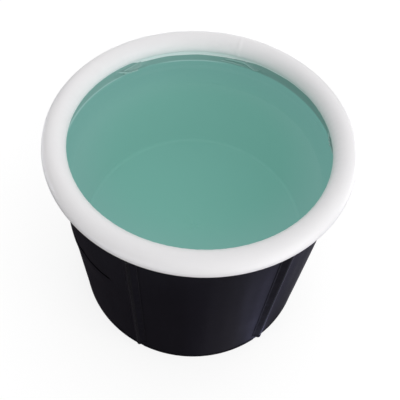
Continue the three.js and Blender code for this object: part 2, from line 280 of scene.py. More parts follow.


# %% [markdown]
# ## The cloth and the sheets
# The wall is cloth coated with black vinyl: satin, almost even, with the cloth's weave just under
# the coat and softer relief where it was folded for its box. Rubbing polishes the crests of its
# sleeves, and a paler tone is painted along them as a highlight. The liner is mint vinyl, with a
# painted highlight along the crest of each fold, painted shade between the folds and a band of
# painted shade from about the water line up, and the ring is white vinyl, drawn smooth by the air in
# it and a little translucent.

# %% Coat the cloth
weave_pitch = 1.1 * mm
weave_share, grain_share = 0.03, 0.02
cloth_tones = ((0.0036, 0.0033, 0.0052, 1), (0.0062, 0.0058, 0.0088, 1))
cloth_roughness, wear_roughness, fold_roughness, polish = 0.3, 0.12, 0.06, 0.17
cloth_gloss = 0.14
cloth_relief = 0.6 * mm
fold_stretch = (1.0, 1.0, 0.3)
# The next tones are painted light: a highlight on the sleeves' crests, a highlight on the swell
# below the fold, and the shade in the fold's valley.
polish_highlight_tone = (0.0085, 0.0085, 0.0095, 1)
swell_highlight_tone = (0.017, 0.0165, 0.018, 1)
unlit_tone = (0.0003, 0.0003, 0.0003, 1)


def black_cloth(name="satin_black_coated_cloth", crest=0.0, fold=None):
    """crest is half the width of the strip, along the middle of the piece, that rubbing makes
    smoother and where a paler tone is painted as its highlight. fold is the height, width and four
    ends of a sharp fold, and how far the swell below it reaches. The fold's valley is mixed to an
    unlit black as painted shade, and the swell is painted paler as a highlight."""
    cloth = Finish(name, "black_sheet")
    place = cloth.place()
    along, up, _ = cloth.split(cloth.node("ShaderNodeUVMap", {"uv_map": "cloth"}))
    threads = 2 * pi / weave_pitch
    weave = (along * threads).sin() * (up * threads).sin()
    wear = cloth.noise(place, 7.0)
    folds = cloth.noise(cloth.stretched(place, fold_stretch), 26.0, 4.0, 0.55)
    grain = cloth.noise(place, 900.0, 1.0)
    colour = cloth.mix(wear, *cloth_tones)
    relief = weave * weave_share + folds + grain * grain_share
    roughness = cloth_roughness + wear * wear_roughness + folds * fold_roughness
    if crest:
        # painted highlight: a paler tone along the crest strip, which is also made smoother
        polish_and_highlight = 1 - abs(along).step(crest / 2, crest)
        colour = cloth.mix(polish_and_highlight, colour, polish_highlight_tone)
        roughness = roughness - polish * polish_and_highlight
    if fold:
        height, width, swell, start, begun, fading, end = fold
        length = along.within(start, begun, fading, end)
        below = height - up
        # painted highlight: the swell below the fold is painted paler
        swell_highlight = below.within(0, swell, swell, 1.5 * swell) * along.within(start, begun, begun, end)
        colour = cloth.mix(swell_highlight, colour, swell_highlight_tone)
    coated = cloth.shader(
        Base_Color=colour,
        Roughness=roughness,
        Specular_IOR_Level=cloth_gloss,
        Normal=cloth.bump(relief, cloth_relief),
    )
    if fold:
        # painted shade: the fold's valley is mixed to an unlit black
        inside = (1 - abs(below).step(width / 2, width)) * length
        unlit = cloth.shader(Base_Color=unlit_tone, Roughness=1.0, Specular_IOR_Level=0.0)
        coated = cloth.blend(inside, coated, unlit)
    return cloth.surface(coated)


# %% Tint the liner
liner_tones = ((0.295, 0.53, 0.48, 1), (0.325, 0.56, 0.51, 1))
# The next tones are painted light: shade on the band from about the water line up, a highlight on
# the crests of the folds and shade between them.
shaded_band_foot, shaded_band_top = 572 * mm, 580 * mm
shaded_band_tone = (0.265, 0.44, 0.415, 1)
fold_crest_highlight_tone = (0.4, 0.62, 0.58, 1)
fold_hollow_shade_tone = (0.16, 0.29, 0.27, 1)


def mint_liner():
    """A highlight is painted paler along the crest of each fold, and shade is painted deeper between
    the folds and on the band from about the water line up. The wall's net carries the height of its
    folds as an attribute."""
    sheet = Finish("mint_green_vinyl_sheet", "mint_liner")
    place = sheet.place()
    cloud = sheet.noise(place, 4.0)
    grain = sheet.noise(place, 500.0, 2.0)
    colour = sheet.mix(cloud, *liner_tones)
    # painted shade: darker from about the water line up
    shaded_band = sheet.split(place)[2].step(shaded_band_foot, shaded_band_top)
    colour = sheet.mix(shaded_band, colour, shaded_band_tone)
    fold = sheet.node("ShaderNodeAttribute", {"attribute_name": "fold"}, None, "Fac")
    # painted highlight on the crests of the folds, and painted shade between them
    colour = sheet.mix(fold.step(0.2, 1.0), colour, fold_crest_highlight_tone)
    colour = sheet.mix((0 - fold).step(0.0, 1.0), colour, fold_hollow_shade_tone)
    return sheet.principled(
        Base_Color=colour,
        Roughness=0.3 + cloud * 0.1,
        Normal=sheet.bump(grain, 0.05 * mm),
    )


# %% Whiten the ring
translucent_depth = 25 * mm


def white_vinyl(name, soft, first, second):
    """White sheet between two tones. soft is how much light goes through it, as it does
    in a tube full of air."""
    sheet = Finish(name, "white_ring")
    place = sheet.place()
    cloud = sheet.noise(place, 5.0)
    grain = sheet.noise(place, 700.0, 2.0)
    creases = sheet.noise(place, 40.0, 4.0, 0.6)
    colour = sheet.mix(cloud, (*first, 1), (*second, 1))
    return sheet.principled(
        Base_Color=colour,
        Roughness=0.34 + cloud * 0.12,
        Subsurface_Weight=soft,
        Subsurface_Radius=(1.0, 1.0, 1.0),
        Subsurface_Scale=translucent_depth,
        Normal=sheet.bump(grain * 0.1 + creases, 0.25 * mm),
    )


# %% [markdown]
# ## The moulded parts
# The fittings are small and plain. Black plastic has the fine spark grain of its mould,
# rubber is duller, the valve is frosted vinyl, and the rods are cut from white pipe with
# faint marks along them from the die.

# %% Mould the plastics
def grained(name, slot, colours, roughness, grain_depth, grains=1200.0):
    """A plastic with a fine grain, whose colour drifts a little between two tones."""
    plastic = Finish(name, slot)
    place = plastic.place()
    drift = plastic.noise(place, 30.0)
    grain = plastic.noise(place, grains, 2.0)
    return plastic.principled(
        Base_Color=plastic.mix(drift, *colours),
        Roughness=roughness + drift * 0.12,
        Normal=plastic.bump(grain, grain_depth),
    )


def pipe_plastic():
    """White, with the die's marks drawn along it and patches that are worn dull."""
    pipe = Finish("white_pipe_plastic", "rod_tube")
    place = pipe.place()
    drawn = pipe.noise(pipe.stretched(place, (1.0, 1.0, 0.01)), 900.0, 2.0)
    scuffs = pipe.noise(place, 60.0, 5.0, 0.7)
    worn = scuffs.step(0.6, 0.72)
    return pipe.principled(
        Base_Color=pipe.mix(worn, (0.74, 0.735, 0.71, 1), (0.6, 0.595, 0.57, 1)),
        Roughness=0.32 + worn * 0.25,
        Normal=pipe.bump(drawn, 0.03 * mm),
    )


def wall_foam():
    """Grey, with cells of a few millimetres."""
    foam = Finish("closed_cell_foam", "foam")
    place = foam.place()
    cells = foam.node("ShaderNodeTexVoronoi", None, {"Vector": place, "Scale": 420.0})
    return foam.principled(
        Base_Color=foam.mix(cells, (0.52, 0.54, 0.56, 1), (0.44, 0.46, 0.48, 1)),
        Roughness=0.85,
        Normal=foam.bump(cells, 0.3 * mm),
    )


# %% Mix every finish
# the sleeves' cloth carries a painted highlight along the crest of each sleeve
polish_highlight_half = 7 * mm
cloth = black_cloth()
sleeve_cloth = black_cloth("polished_highlit_black_coated_cloth", polish_highlight_half)
liner = mint_liner()
vinyl = white_vinyl("white_vinyl_sheet", 0.6, (0.815, 0.805, 0.82), (0.85, 0.84, 0.845))
strip_vinyl = white_vinyl("white_welded_strip", 0.0, (0.84, 0.9, 0.9), (0.86, 0.92, 0.92))
pipe = pipe_plastic()
foam = wall_foam()
near_black = ((0.018, 0.018, 0.02, 1), (0.026, 0.026, 0.028, 1))
rubber_black = ((0.012, 0.012, 0.012, 1), (0.018, 0.018, 0.018, 1))
frosted = ((0.66, 0.69, 0.69, 1), (0.72, 0.74, 0.74, 1))
plastic = grained("moulded_black_plastic", "black_plastic", near_black, 0.34, 0.04 * mm)
rubber = grained("soft_black_rubber", "black_rubber", rubber_black, 0.6, 0.05 * mm)
clear = grained("frosted_valve_vinyl", "valve_plastic", frosted, 0.24, 0.01 * mm)
thread_black = ((0.007, 0.007, 0.008, 1), (0.011, 0.011, 0.012, 1))
thread = grained("black_sewing_thread", "black_sheet", thread_black, 0.6, 0.05 * mm, 2500.0)
print("finishes:", ", ".join(sorted(material.name for material in bpy.data.materials)))

# %% [markdown]
# ## Meshes by formula
# Nearly every surface here is a net of points: one direction goes round the barrel or the
# tube, the other goes across it. One helper joins such a net, and lays the cloth's own
# coordinates on it, measured in metres, so that the weave keeps its scale.

# %% Join a net of points
def net(name, points, around=True, closed=True, lengths=None):
    """A mesh on points[i][j], where i goes round and j across. lengths are the two
    lists of distances, each one longer than the net, that the cloth's pattern follows."""
    rounds, crosses = points.shape[:2]
    i, j = np.meshgrid(
        np.arange(rounds if around else rounds - 1),
        np.arange(crosses if closed else crosses - 1),
        indexing="ij",
    )
    corners = [(0, 0), (1, 0), (1, 1), (0, 1)]
    faces = [((i + a) % rounds) * crosses + (j + b) % crosses for a, b in corners]
    mesh = bpy.data.meshes.new(name)
    quads = np.stack(faces, -1).reshape(-1, 4).tolist()
    mesh.from_pydata(points.reshape(-1, 3).tolist(), [], quads)
    if lengths is not None:
        along, across = (np.asarray(values) for values in lengths)
        flat = [np.stack([along[i + a], across[j + b]], -1) for a, b in corners]
        layer = mesh.uv_layers.new(name="cloth")
        layer.data.foreach_set("uv", np.stack(flat, -2).reshape(-1).astype(np.float32))
    return mesh


def tidied(mesh, fill=False, sharp=40):
    """Welds poles and seams, fills open ends, turns the faces out and shades them."""
    made = bmesh.new()
    made.from_mesh(mesh)
    bmesh.ops.remove_doubles(made, verts=made.verts, dist=1e-6)
    if fill:
        ends = [edge for edge in made.edges if edge.is_boundary]
        bmesh.ops.holes_fill(made, edges=ends, sides=0)
    bmesh.ops.recalc_face_normals(made, faces=made.faces)
    made.to_mesh(mesh)
    made.free()
    mesh.shade_smooth()
    mesh.set_sharp_from_angle(angle=radians(sharp))
    return mesh


# %% Turn an outline
def rounded(outline, radius, closed, steps=4):
    """The outline with its corners rounded, as far as their sides leave room."""
    corners = [Vector(point) for point in outline]
    count = len(corners)
    line = []
    for index, corner in enumerate(corners):
        if not closed and index in (0, count - 1):
            line.append(corner)
            continue
        back = corners[index - 1] - corner
        on = corners[(index + 1) % count] - corner
        half = back.angle(on) / 2
        if half > 1.5:
            line.append(corner)
            continue
        cut = min(radius / tan(half), 0.45 * back.length, 0.45 * on.length)
        start, end = corner + back.normalized() * cut, corner + on.normalized() * cut
        for step in range(steps + 1):
            share = step / steps
            line.append((1 - share) ** 2 * start + 2 * share * (1 - share) * corner + share**2 * end)
    return np.array([tuple(point) for point in line])


def turned(name, outline, place=None, steps=96, corner=0.3 * mm, shape=None):
    """A solid of revolution. The outline of (radius, height) starts and ends on the axis
    or closes on itself, and shape may change both as functions of the angle."""
    closed = outline[0][0] > 0
    line = rounded(outline, corner, closed)
    angle = (2 * pi * np.arange(steps) / steps)[:, None]
    radius, height = line[None, :, 0] + 0 * angle, line[None, :, 1] + 0 * angle
    if shape:
        radius, height = shape(angle, radius, height)
    points = np.stack([radius * np.cos(angle), radius * np.sin(angle), height], -1)
    if place is not None:
        points = points @ np.array(place.to_3x3()).T + np.array(place.translation)
    return tidied(net(name, points, closed=closed))


# %% Give a piece its place
def piece(name, mesh, finish, body, *nodes):
    """Adds the mesh as a piece that rides on a body and stands for the named nodes."""
    made = bpy.data.objects.new(name, mesh)
    bpy.context.collection.objects.link(made)
    mesh.materials.append(finish.material)
    if nodes:
        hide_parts(*nodes)
    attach(made, body)
    return made


# %% Measure on the tub
def smooth(value, start, end):
    """0 before start, 1 after end, and smooth between them."""
    share = np.clip((value - start) / (end - start), 0, 1)
    return share * share * (3 - 2 * share)


def within(value, start, begun, fading, end):
    """1 from begun to fading, 0 before start and after end, and smooth between them."""
    return smooth(value, start, begun) * (1 - smooth(value, fading, end))


def around_tub(azimuth, radius, height):
    """Points at so many degrees from the front, towards the right."""
    angle = np.radians(azimuth)
    return np.stack(np.broadcast_arrays(radius * np.sin(angle), -radius * np.cos(angle), height), -1)


def joint(name):
    return next(entry for entry in frame["joints"] if entry["name"] == name)


def axis_place(origin, axis):
    """A place at origin whose Z lies along axis and whose X is level."""
    level = axis.cross(Vector((0, 0, 1))).normalized()
    place = Matrix((level, axis.cross(level), axis)).transposed().to_4x4()
    place.translation = origin
    return place


def span(node, place):
    """Where a node starts and ends along the Z of a place, and its greatest radius."""
    mesh = frame["nodes"][node].data
    points = np.empty(3 * len(mesh.vertices))
    mesh.vertices.foreach_get("co", points)
    back = np.array(place.inverted())
    points = points.reshape(-1, 3) @ back[:3, :3].T + back[:3, 3]
    return points[:, 2].min(), points[:, 2].max(), np.hypot(points[:, 0], points[:, 1]).max()


# %% [markdown]
# ## The air ring
# The ring is a tube of sheet, blown up hard enough to carry a person's arms. Its inner
# side is shorter than its outer side, so the sheet gathers there in fine radial pleats.
# The two ends of the sheet overlap in one welded strip across the tube.

# %% Blow up the ring
ring_steps, tube_steps = 720, 72
pleat_depth = 0.22 * mm
pleat_counts = (97, 31)
seam_azimuth = 157.0
seam_width = 7 * mm
seam_rise = 1.1 * mm
seam_blend = 0.6 * mm


def pleats(azimuth, angle):
    """How far the sheet stands out, which changes only on the tube's inner side."""
    inner = smooth(-np.cos(angle), 0.1, 0.9)
    turns = np.radians(azimuth)
    many, few = pleat_counts
    fine = np.sin(many * turns + 2.0 * np.sin(3 * turns)) * np.sin(few * turns + 1.3)
    return inner * pleat_depth * fine


def air_ring():
    """A tube bent to a ring, with the seam's band and the pleats laid on its radius."""
    azimuth = np.linspace(0, 360, ring_steps, endpoint=False)[:, None]
    angle = (2 * pi * np.arange(tube_steps) / tube_steps)[None, :]
    arc = np.abs((azimuth - seam_azimuth + 180) % 360 - 180) * pi / 180 * ring_radius
    overlap = 1 - smooth(arc, seam_width / 2 - seam_blend, seam_width / 2 + seam_blend)
    radius = tube_radius + pleats(azimuth, angle) + seam_rise * overlap
    away, height = ring_radius + radius * np.cos(angle), ring_height + radius * np.sin(angle)
    lengths = (
        np.linspace(0, 2 * pi * ring_radius, ring_steps + 1),
        np.linspace(0, 2 * pi * tube_radius, tube_steps + 1),
    )
    mesh = tidied(net("inflated_ring", around_tub(azimuth, away, height), lengths=lengths))
    return piece("inflated_ring", mesh, vinyl, "tub", "air_ring")


ring = air_ring()
print("ring faces:", len(ring.data.polygons))

# %% [markdown]
# ## The collars
# A strip of sheet joins the ring to the wall on each side. The inner one is white and
# shows as a thin line under the ring. It hangs lower across the back than elsewhere. Both
# are pulled into a soft wave between the places where they are welded.

# %% Draw up the collars
strip_dip = (148.0, 158.0, 204.0, 210.0)
strip_drawn = (205.0, 210.0, 245.0, 270.0)
strip_raise = 6 * mm
strip_draw = 4 * mm
strip_wave = 0.5 * mm
hem_wave_rise = 0.3 * mm
weld_waves = 23


def strip_foot(azimuth):
    """How far the inner strip's foot is drawn up under the ring, away from the dip, and
    farther where it is drawn."""
    turn = azimuth % 360
    raised = strip_raise * (1 - within(turn, *strip_dip))
    raised = raised + within(turn, *strip_drawn) * strip_draw
    return raised + strip_wave * np.sin(np.radians(weld_waves * turn))


def hem_wave(azimuth):
    """How far the outer strip's foot is drawn up."""
    return hem_wave_rise * np.sin(np.radians(weld_waves * azimuth))


highest = strip_foot(np.arange(360)).max()
print("inner strip drawn up by", round(float(highest / mm), 1), "mm at most")

# %% Weld the collars
collar_steps = 720
collar_rows = 12
ring_touch = 0.4 * mm
curl_share = 0.9


def collar(name, node, side, face, finish, drawn_up):
    """A band on the wall's face that curls under the ring. side is 1 outside, -1 inside."""
    low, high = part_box(node)
    azimuth = np.linspace(0, 360, collar_steps, endpoint=False)[:, None]
    foot = low[2] + drawn_up(azimuth)
    height = foot + (high[2] - foot) * np.linspace(0, 1, collar_rows)[None, :]
    near = face + side * fit_gap
    under = np.sqrt(np.maximum((tube_radius + ring_touch) ** 2 - (ring_height - height) ** 2, 0))
    curl = np.where(ring_height - height < tube_radius, under - abs(near - ring_radius), 0)
    inside = near + side * np.maximum(curl, 0) * curl_share
    outside = inside + side * sheet_thickness
    radius = np.concatenate([outside, inside[:, ::-1]], 1)
    heights = np.concatenate([height, height[:, ::-1]], 1)
    lengths = (
        np.linspace(0, 2 * pi * face, collar_steps + 1),
        np.linspace(0, 2 * (high[2] - low[2]), 2 * collar_rows + 1),
    )
    mesh = tidied(net(name, around_tub(azimuth, radius, heights), lengths=lengths))
    return piece(name, mesh, finish, "tub", node)


inner = collar("inner_weld_strip", "inner_collar", -1, liner_radius, strip_vinyl, strip_foot)
outer = collar("outer_weld_strip", "outer_collar", 1, wall_radius, cloth, hem_wave)
print("collar faces:", len(inner.data.polygons), "and", len(outer.data.polygons))

# %% [markdown]
# ## The wall
# Water pushes the cloth out between the rods, so each panel bulges a little, and the cloth keeps
# some of the creases that it was packed with. The photograph shows one: a sharp fold across the left
# panel, whose valley is painted dark as shade, with a soft swell below it that is painted paler as a
# highlight.
# The rows of the net lie closer together there, so that the fold stays sharp. A Boolean
# modifier then cuts the drain's hole.

# %% Shape the wall
wall_steps = 480
row_pitch = 9 * mm
panel_bulge = 2.5 * mm
panel_edge = 0.12
ripple = 0.35 * mm
ripple_counts = (29, 47)
crease_height = 399.5 * mm
crease_depth = 6 * mm
crease_width = 2.6 * mm
swell_rise = 3 * mm
swell_width = 34 * mm
crease_rows = 1.2 * mm
crease_dark = 6.5 * mm
crease_ends = (-86.0, -80.0, -43.0, -40.5)
rod_spacing = 360 / rod_count
sleeve_half_angle = 3.6


def panel_share(azimuth):
    """0 at one rod, 1 at the next."""
    return ((azimuth - rod_azimuths[0]) % rod_spacing) / rod_spacing


def wall_relief(azimuth, height):
    """How far the outer face of the wall stands out from its cylinder."""
    share = panel_share(azimuth)
    edge = sleeve_half_angle / rod_spacing
    free = smooth(share, edge, edge + panel_edge) * smooth(1 - share, edge, edge + panel_edge)
    rise = np.clip((height - wall_foot) / (wall_top - wall_foot), 0, 1)
    held = np.clip(4 * rise * (1 - rise), 0, 1) ** 0.6
    few, many = (count * np.radians(azimuth) for count in ripple_counts)
    waves = np.sin(few + 1.1 + 1.2 * rise) + 0.7 * np.sin(many + 2.3 * rise + 0.4)
    bulge = free * held * (panel_bulge * np.sin(pi * share) ** 2 + ripple * waves)
    _, begun, _, end = crease_ends
    along = within(azimuth, *crease_ends)
    below = crease_height - height
    valley = crease_depth * np.exp(-((below / crease_width) ** 2))
    swell = swell_rise * np.exp(-(((below - swell_width) / swell_width) ** 2))
    swell = swell * smooth(below, 0, 3 * mm)
    return bulge + along * (swell * (1 - smooth(azimuth, begun, end)) - valley)


deepest = wall_relief(np.linspace(*crease_ends[1:3], wall_steps), crease_height).min()
print("crease", round(float(-deepest / mm), 1), "mm deep")

# %% Cut a hole for the drain
hole_radius = 15.8 * mm
hole_reach = (-60 * mm, 20 * mm)


def drain_hole(made):
    """Cuts the drain's hole through a wall piece."""
    spin = joint("drain_cap_turn")
    inner, outer = hole_reach
    outline = [(0, inner), (hole_radius, inner), (hole_radius, outer), (0, outer)]
    place = axis_place(Vector(spin["pos_m"]), Vector(spin["axis"]))
    cutter = bpy.data.objects.new("drain_cutter", turned("drain_cutter", outline, place, 48, 0))
    bpy.context.collection.objects.link(cutter)
    cut = made.modifiers.new("drain_hole", "BOOLEAN")
    cut.operation = "DIFFERENCE"
    cut.solver = "EXACT"
    cut.object = cutter
    graph = bpy.context.evaluated_depsgraph_get()
    mesh = bpy.data.meshes.new_from_object(made.evaluated_get(graph))
    made.modifiers.clear()
    old = made.data
    made.data = mesh
    bpy.data.meshes.remove(old)
    bpy.data.objects.remove(cutter)
    mesh.set_sharp_from_angle(angle=radians(40))


# %% Hang the wall
def outer_wall():
    """One closed net: up the outer face, over the rim and down the inner face."""
    azimuth = np.linspace(-180, 180, wall_steps, endpoint=False)[:, None]
    rows = np.arange(wall_foot, wall_top, row_pitch)
    fold = np.arange(crease_height - swell_width, crease_height + 12 * mm, crease_rows)
    height = np.unique(np.concatenate([rows, fold, [wall_top]]))[None, :]
    outside = wall_radius + wall_relief(azimuth, height)
    back = np.linspace(wall_top, wall_foot, 8)[None, :]
    inside = wall_radius - sheet_thickness + np.minimum(wall_relief(azimuth, back), 0) + 0 * back
    radius = np.concatenate([outside, inside], 1)
    heights = np.concatenate([height + 0 * azimuth, back + 0 * azimuth], 1)
    ups = np.concatenate([heights[0], [wall_foot]])
    lengths = (np.linspace(0, 2 * pi * wall_radius, wall_steps + 1), ups)
    mesh = tidied(net("outer_cloth_wall", around_tub(azimuth, radius, heights), lengths=lengths))
    ends = [(180 + turn) * pi / 180 * wall_radius for turn in crease_ends]
    fold_line = (crease_height, crease_dark, 2 * swell_width, *ends)
    # this cloth carries painted shade in the fold's valley and a painted highlight on the swell
    # below it
    creased = black_cloth("creased_black_coated_cloth", fold=fold_line)
    return piece("outer_cloth_wall", mesh, creased, "tub", "outer_wall")


wall = outer_wall()
drain_hole(wall)
print("wall faces:", len(wall.data.polygons))

# %% [markdown]
# ## The base
# The underside is one round piece of the same cloth, and its edge is turned up round the
# foot of the wall and welded there. Under each rod the edge is cut away as far as the
# wall, so that the rod can be drawn down past it.

# %% Lay the base
base_lip = 12 * mm
base_round = 3 * mm
base_steps = 720
base_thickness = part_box("base_skin")[1][2]
notch_reach = 0.1 * mm
notch_halves = (8 * mm, 11 * mm)


def notched(angle, radius, height):
    """Pulls the lip in and down to the flat base under each rod."""
    half = rod_spacing / 2
    from_rod = (np.degrees(angle) + 90 - rod_azimuths[0] + half) % rod_spacing - half
    uncut = smooth(np.abs(np.radians(from_rod)) * wall_radius, *notch_halves)
    short = np.minimum(radius, wall_radius + notch_reach)
    low = np.minimum(height, base_thickness)
    return short + uncut * (radius - short), low + uncut * (height - low)


def base():
    """A round sheet whose large corners are rounded first, and its edges after them."""
    outside = wall_radius + fit_gap + sheet_thickness
    outline = [
        (0, 0),
        (outside, 0),
        (outside, base_lip),
        (outside - sheet_thickness, base_lip),
        (outside - sheet_thickness, base_thickness),
        (0, base_thickness),
    ]
    line = rounded(outline, base_round, False, 6)
    mesh = turned("base_cloth", line, None, base_steps, 0.4 * mm, notched)
    return piece("base_cloth", mesh, cloth, "tub", "base_skin")


print("base faces:", len(base().data.polygons))

# %% [markdown]
# ## The rod sleeves
# Each sleeve is a strip of the same cloth, sewn down on both sides of a rod. Its section
# is the shape that a string takes over a bar: round on the rod, then straight down to
# the wall, and flat where it is sewn. The top is closed over the rod's end, and the
# bottom is open, with a hem, so that the rod can be drawn out.

# %% Stretch a strip over a rod
sleeve_low, sleeve_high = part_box("rod_sleeve_2")
sleeve_half = (sleeve_high[1] - sleeve_low[1]) / 2
rod_low, rod_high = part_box("rod_2")
rod_radius = (rod_high[1] - rod_low[1]) / 2
rod_distance = (rod_high[0] + rod_low[0]) / 2


def tent(across, foot, reach, crest):
    """The strip's distance from the rod's centre line, outwards, at a distance across it.
    foot is where it meets the wall, reach the wall's face there, crest its round radius."""
    away = sqrt(reach**2 + foot**2)
    touch = atan2(foot, reach) - np.arccos(crest / away)
    turn_out, turn_across = crest * cos(touch), crest * sin(touch)
    slope = (reach - turn_out) / (foot - turn_across)
    side = np.abs(across)
    round_part = np.sqrt(np.maximum(crest**2 - side**2, 0))
    straight = turn_out + (side - turn_across) * slope
    return np.where(side < turn_across, round_part, straight)


print("rods", round(2 * rod_radius, 4), "thick,", round(rod_distance, 4), "from the tub's axis")

# %% Draw the sleeve's section
weld_margin = 4.5 * mm
section_points = 61
hem_height = 12 * mm
hem_rise = 0.5 * mm
sewn_gap = 0.05 * mm
pucker_waves = ((0.5 * mm, 61, 0), (0.4 * mm, 143, 1))


def sleeve_section(height, flat):
    """The closed section at a height: out over the rod and back inside it. flat is 1
    where the strip lies down on the wall past the rod's end."""
    across = sleeve_half * np.sin(np.linspace(-pi / 2, pi / 2, section_points))
    face = np.sqrt((wall_radius + fit_gap) ** 2 - across**2)
    pucker = sum(depth * sin(height * turns + start) for depth, turns, start in pucker_waves)
    foot = sleeve_half - weld_margin + pucker
    hem = sleeve_low[2] + hem_height
    lift = hem_rise * float(1 - smooth(height, hem, hem + 1 * mm))
    reach = sqrt((wall_radius + fit_gap) ** 2 - foot**2) - rod_distance
    lines = []
    for thickness, rise in ((sheet_thickness, sheet_thickness + lift), (0, sewn_gap)):
        crest = rod_radius + fit_gap + thickness + lift * (thickness > 0)
        edge = foot - (0 if thickness else sheet_thickness)
        over = rod_distance + tent(across, edge, reach + rise, crest)
        raised = np.where(np.abs(across) < edge, np.maximum(over - face, rise), rise)
        raised = raised * (1 - flat) + rise * flat
        for _ in range(2):
            raised[1:-1] = (raised[:-2] + 2 * raised[1:-1] + raised[2:]) / 4
        lines.append(np.stack([face + raised, across], -1))
    return np.concatenate([lines[0], lines[1][::-1]])


middle = sleeve_section((sleeve_low[2] + sleeve_high[2]) / 2, 0.0)
print("sleeve stands", round(float((middle[:, 0].max() - wall_radius) / mm), 1), "mm off the wall")

# %% Sew a sleeve on each rod
row_step = 8 * mm
crown_close = 2.8 * mm
crown_shares = (0.25, 0.5, 0.7, 0.85, 0.95, 1.0)


def sleeve_rows():
    """Heights up the sleeve, and how flat it lies at each."""
    low, high = sleeve_low[2], sleeve_high[2]
    hem = low + hem_height
    heights = [low, low + 0.5 * mm, hem - 0.5 * mm, hem, hem + 1 * mm]
    heights += list(np.arange(hem + row_step, high - row_step / 2, row_step))
    heights += [high - 1 * mm, high]
    flats = [0.0] * len(heights)
    for share in crown_shares:
        heights.append(high + crown_close * sin(share * pi / 2))
        flats.append(1 - cos(share * pi / 2))
    return heights, flats


def sleeve(number, azimuth):
    """The sections, set one above the other and turned to face out at the rod."""
    heights, flats = sleeve_rows()
    sections = np.stack([sleeve_section(h, f) for h, f in zip(heights, flats)], 1)
    angle = radians(azimuth - 90)
    x = sections[..., 0] * cos(angle) - sections[..., 1] * sin(angle)
    y = sections[..., 0] * sin(angle) + sections[..., 1] * cos(angle)
    z = np.broadcast_to(np.array(heights), x.shape)
    across = np.concatenate([sections[:, 0, 1], sections[:1, 0, 1]])
    lengths = (across, np.array(heights + heights[-1:]))
    name = f"sleeve_{number}"
    mesh = net(name, np.stack([x, y, z], -1), closed=False, lengths=lengths)
    mesh = tidied(mesh, fill=True, sharp=60)
    return piece(name, mesh, sleeve_cloth, "tub", f"rod_sleeve_{number}")


for number, azimuth in enumerate(rod_azimuths, 1):
    sleeve(number, azimuth)
print("sleeves", round(2 * sleeve_half, 4), "wide")

# %% [markdown]
# ## The stitches
# Every sleeve is sewn with a row of stitches along each edge and one across its hem. Each
# stitch is the same small loop of thread, so Geometry Nodes place it: they divide each
# path by the stitch length, put a loop at every mark, and turn it along the path.

# %% Build the stitching tree
stitch_length = 3.2 * mm
stitch_pitch = 4.4 * mm
thread_radius = 0.35 * mm


def stitch_tree():
    tree = bpy.data.node_groups.new("sewn_stitches", "GeometryNodeTree")
    tree.interface.new_socket("Geometry", in_out="INPUT", socket_type="NodeSocketGeometry")
    tree.interface.new_socket("Geometry", in_out="OUTPUT", socket_type="NodeSocketGeometry")
    for label in ("Pitch", "Length", "Thread"):
        tree.interface.new_socket(label, in_out="INPUT", socket_type="NodeSocketFloat")
    tree.interface.new_socket("Material", in_out="INPUT", socket_type="NodeSocketMaterial")

    def add(kind, settings=None, links=None):
        node = tree.nodes.new(kind)
        for key, value in (settings or {}).items():
            setattr(node, key, value)
        for key, value in (links or {}).items():
            if isinstance(value, bpy.types.NodeSocket):
                tree.links.new(value, node.inputs[key])
            else:
                node.inputs[key].default_value = value
        return node

    start = add("NodeGroupInput")
    marks = add(
        "GeometryNodeCurveToPoints",
        {"mode": "LENGTH"},
        {"Curve": start.outputs["Geometry"], "Length": start.outputs["Pitch"]},
    )
    loop = add("GeometryNodeMeshUVSphere", None, {"Segments": 6, "Rings": 5, "Radius": 1.0})
    half = add("ShaderNodeMath", {"operation": "MULTIPLY"}, {0: start.outputs["Length"], 1: 0.5})
    size = add(
        "ShaderNodeCombineXYZ",
        None,
        {"X": start.outputs["Thread"], "Y": start.outputs["Thread"], "Z": half.outputs[0]},
    )
    wiring = {
        "Points": marks.outputs["Points"],
        "Instance": loop.outputs["Mesh"],
        "Rotation": marks.outputs["Rotation"],
        "Scale": size.outputs[0],
    }
    placed = add("GeometryNodeInstanceOnPoints", None, wiring)
    real = add("GeometryNodeRealizeInstances", None, {"Geometry": placed.outputs[0]})
    shown = add(
        "GeometryNodeSetMaterial",
        None,
        {"Geometry": real.outputs[0], "Material": start.outputs["Material"]},
    )
    add("NodeGroupOutput", None, {"Geometry": shown.outputs[0]})
    return tree


# %% Run a tree
def grown(name, paths, tree, values):
    """Runs a tree on a curve with these paths, and gives the result as a plain mesh."""
    data = bpy.data.curves.new(name, "CURVE")
    data.dimensions = "3D"
    for path in paths:
        spline = data.splines.new("POLY")
        spline.points.add(len(path) - 1)
        spline.points.foreach_set("co", np.c_[path, np.ones(len(path))].reshape(-1))
    source = bpy.data.objects.new(name, data)
    bpy.context.collection.objects.link(source)
    modifier = source.modifiers.new(name, "NODES")
    modifier.node_group = tree
    for item in tree.interface.items_tree:
        if item.in_out == "INPUT" and item.name in values:
            modifier[item.identifier] = values[item.name]
    graph = bpy.context.evaluated_depsgraph_get()
    mesh = bpy.data.meshes.new_from_object(source.evaluated_get(graph), depsgraph=graph)
    source.modifiers.clear()
    bpy.data.objects.remove(source)
    bpy.data.curves.remove(data)
    mesh.name = name
    mesh.shade_smooth()
    return mesh


# %% Sew the sleeves
edge_inset = 2.2 * mm
hem_inset = 8 * mm
hem_margin = 4


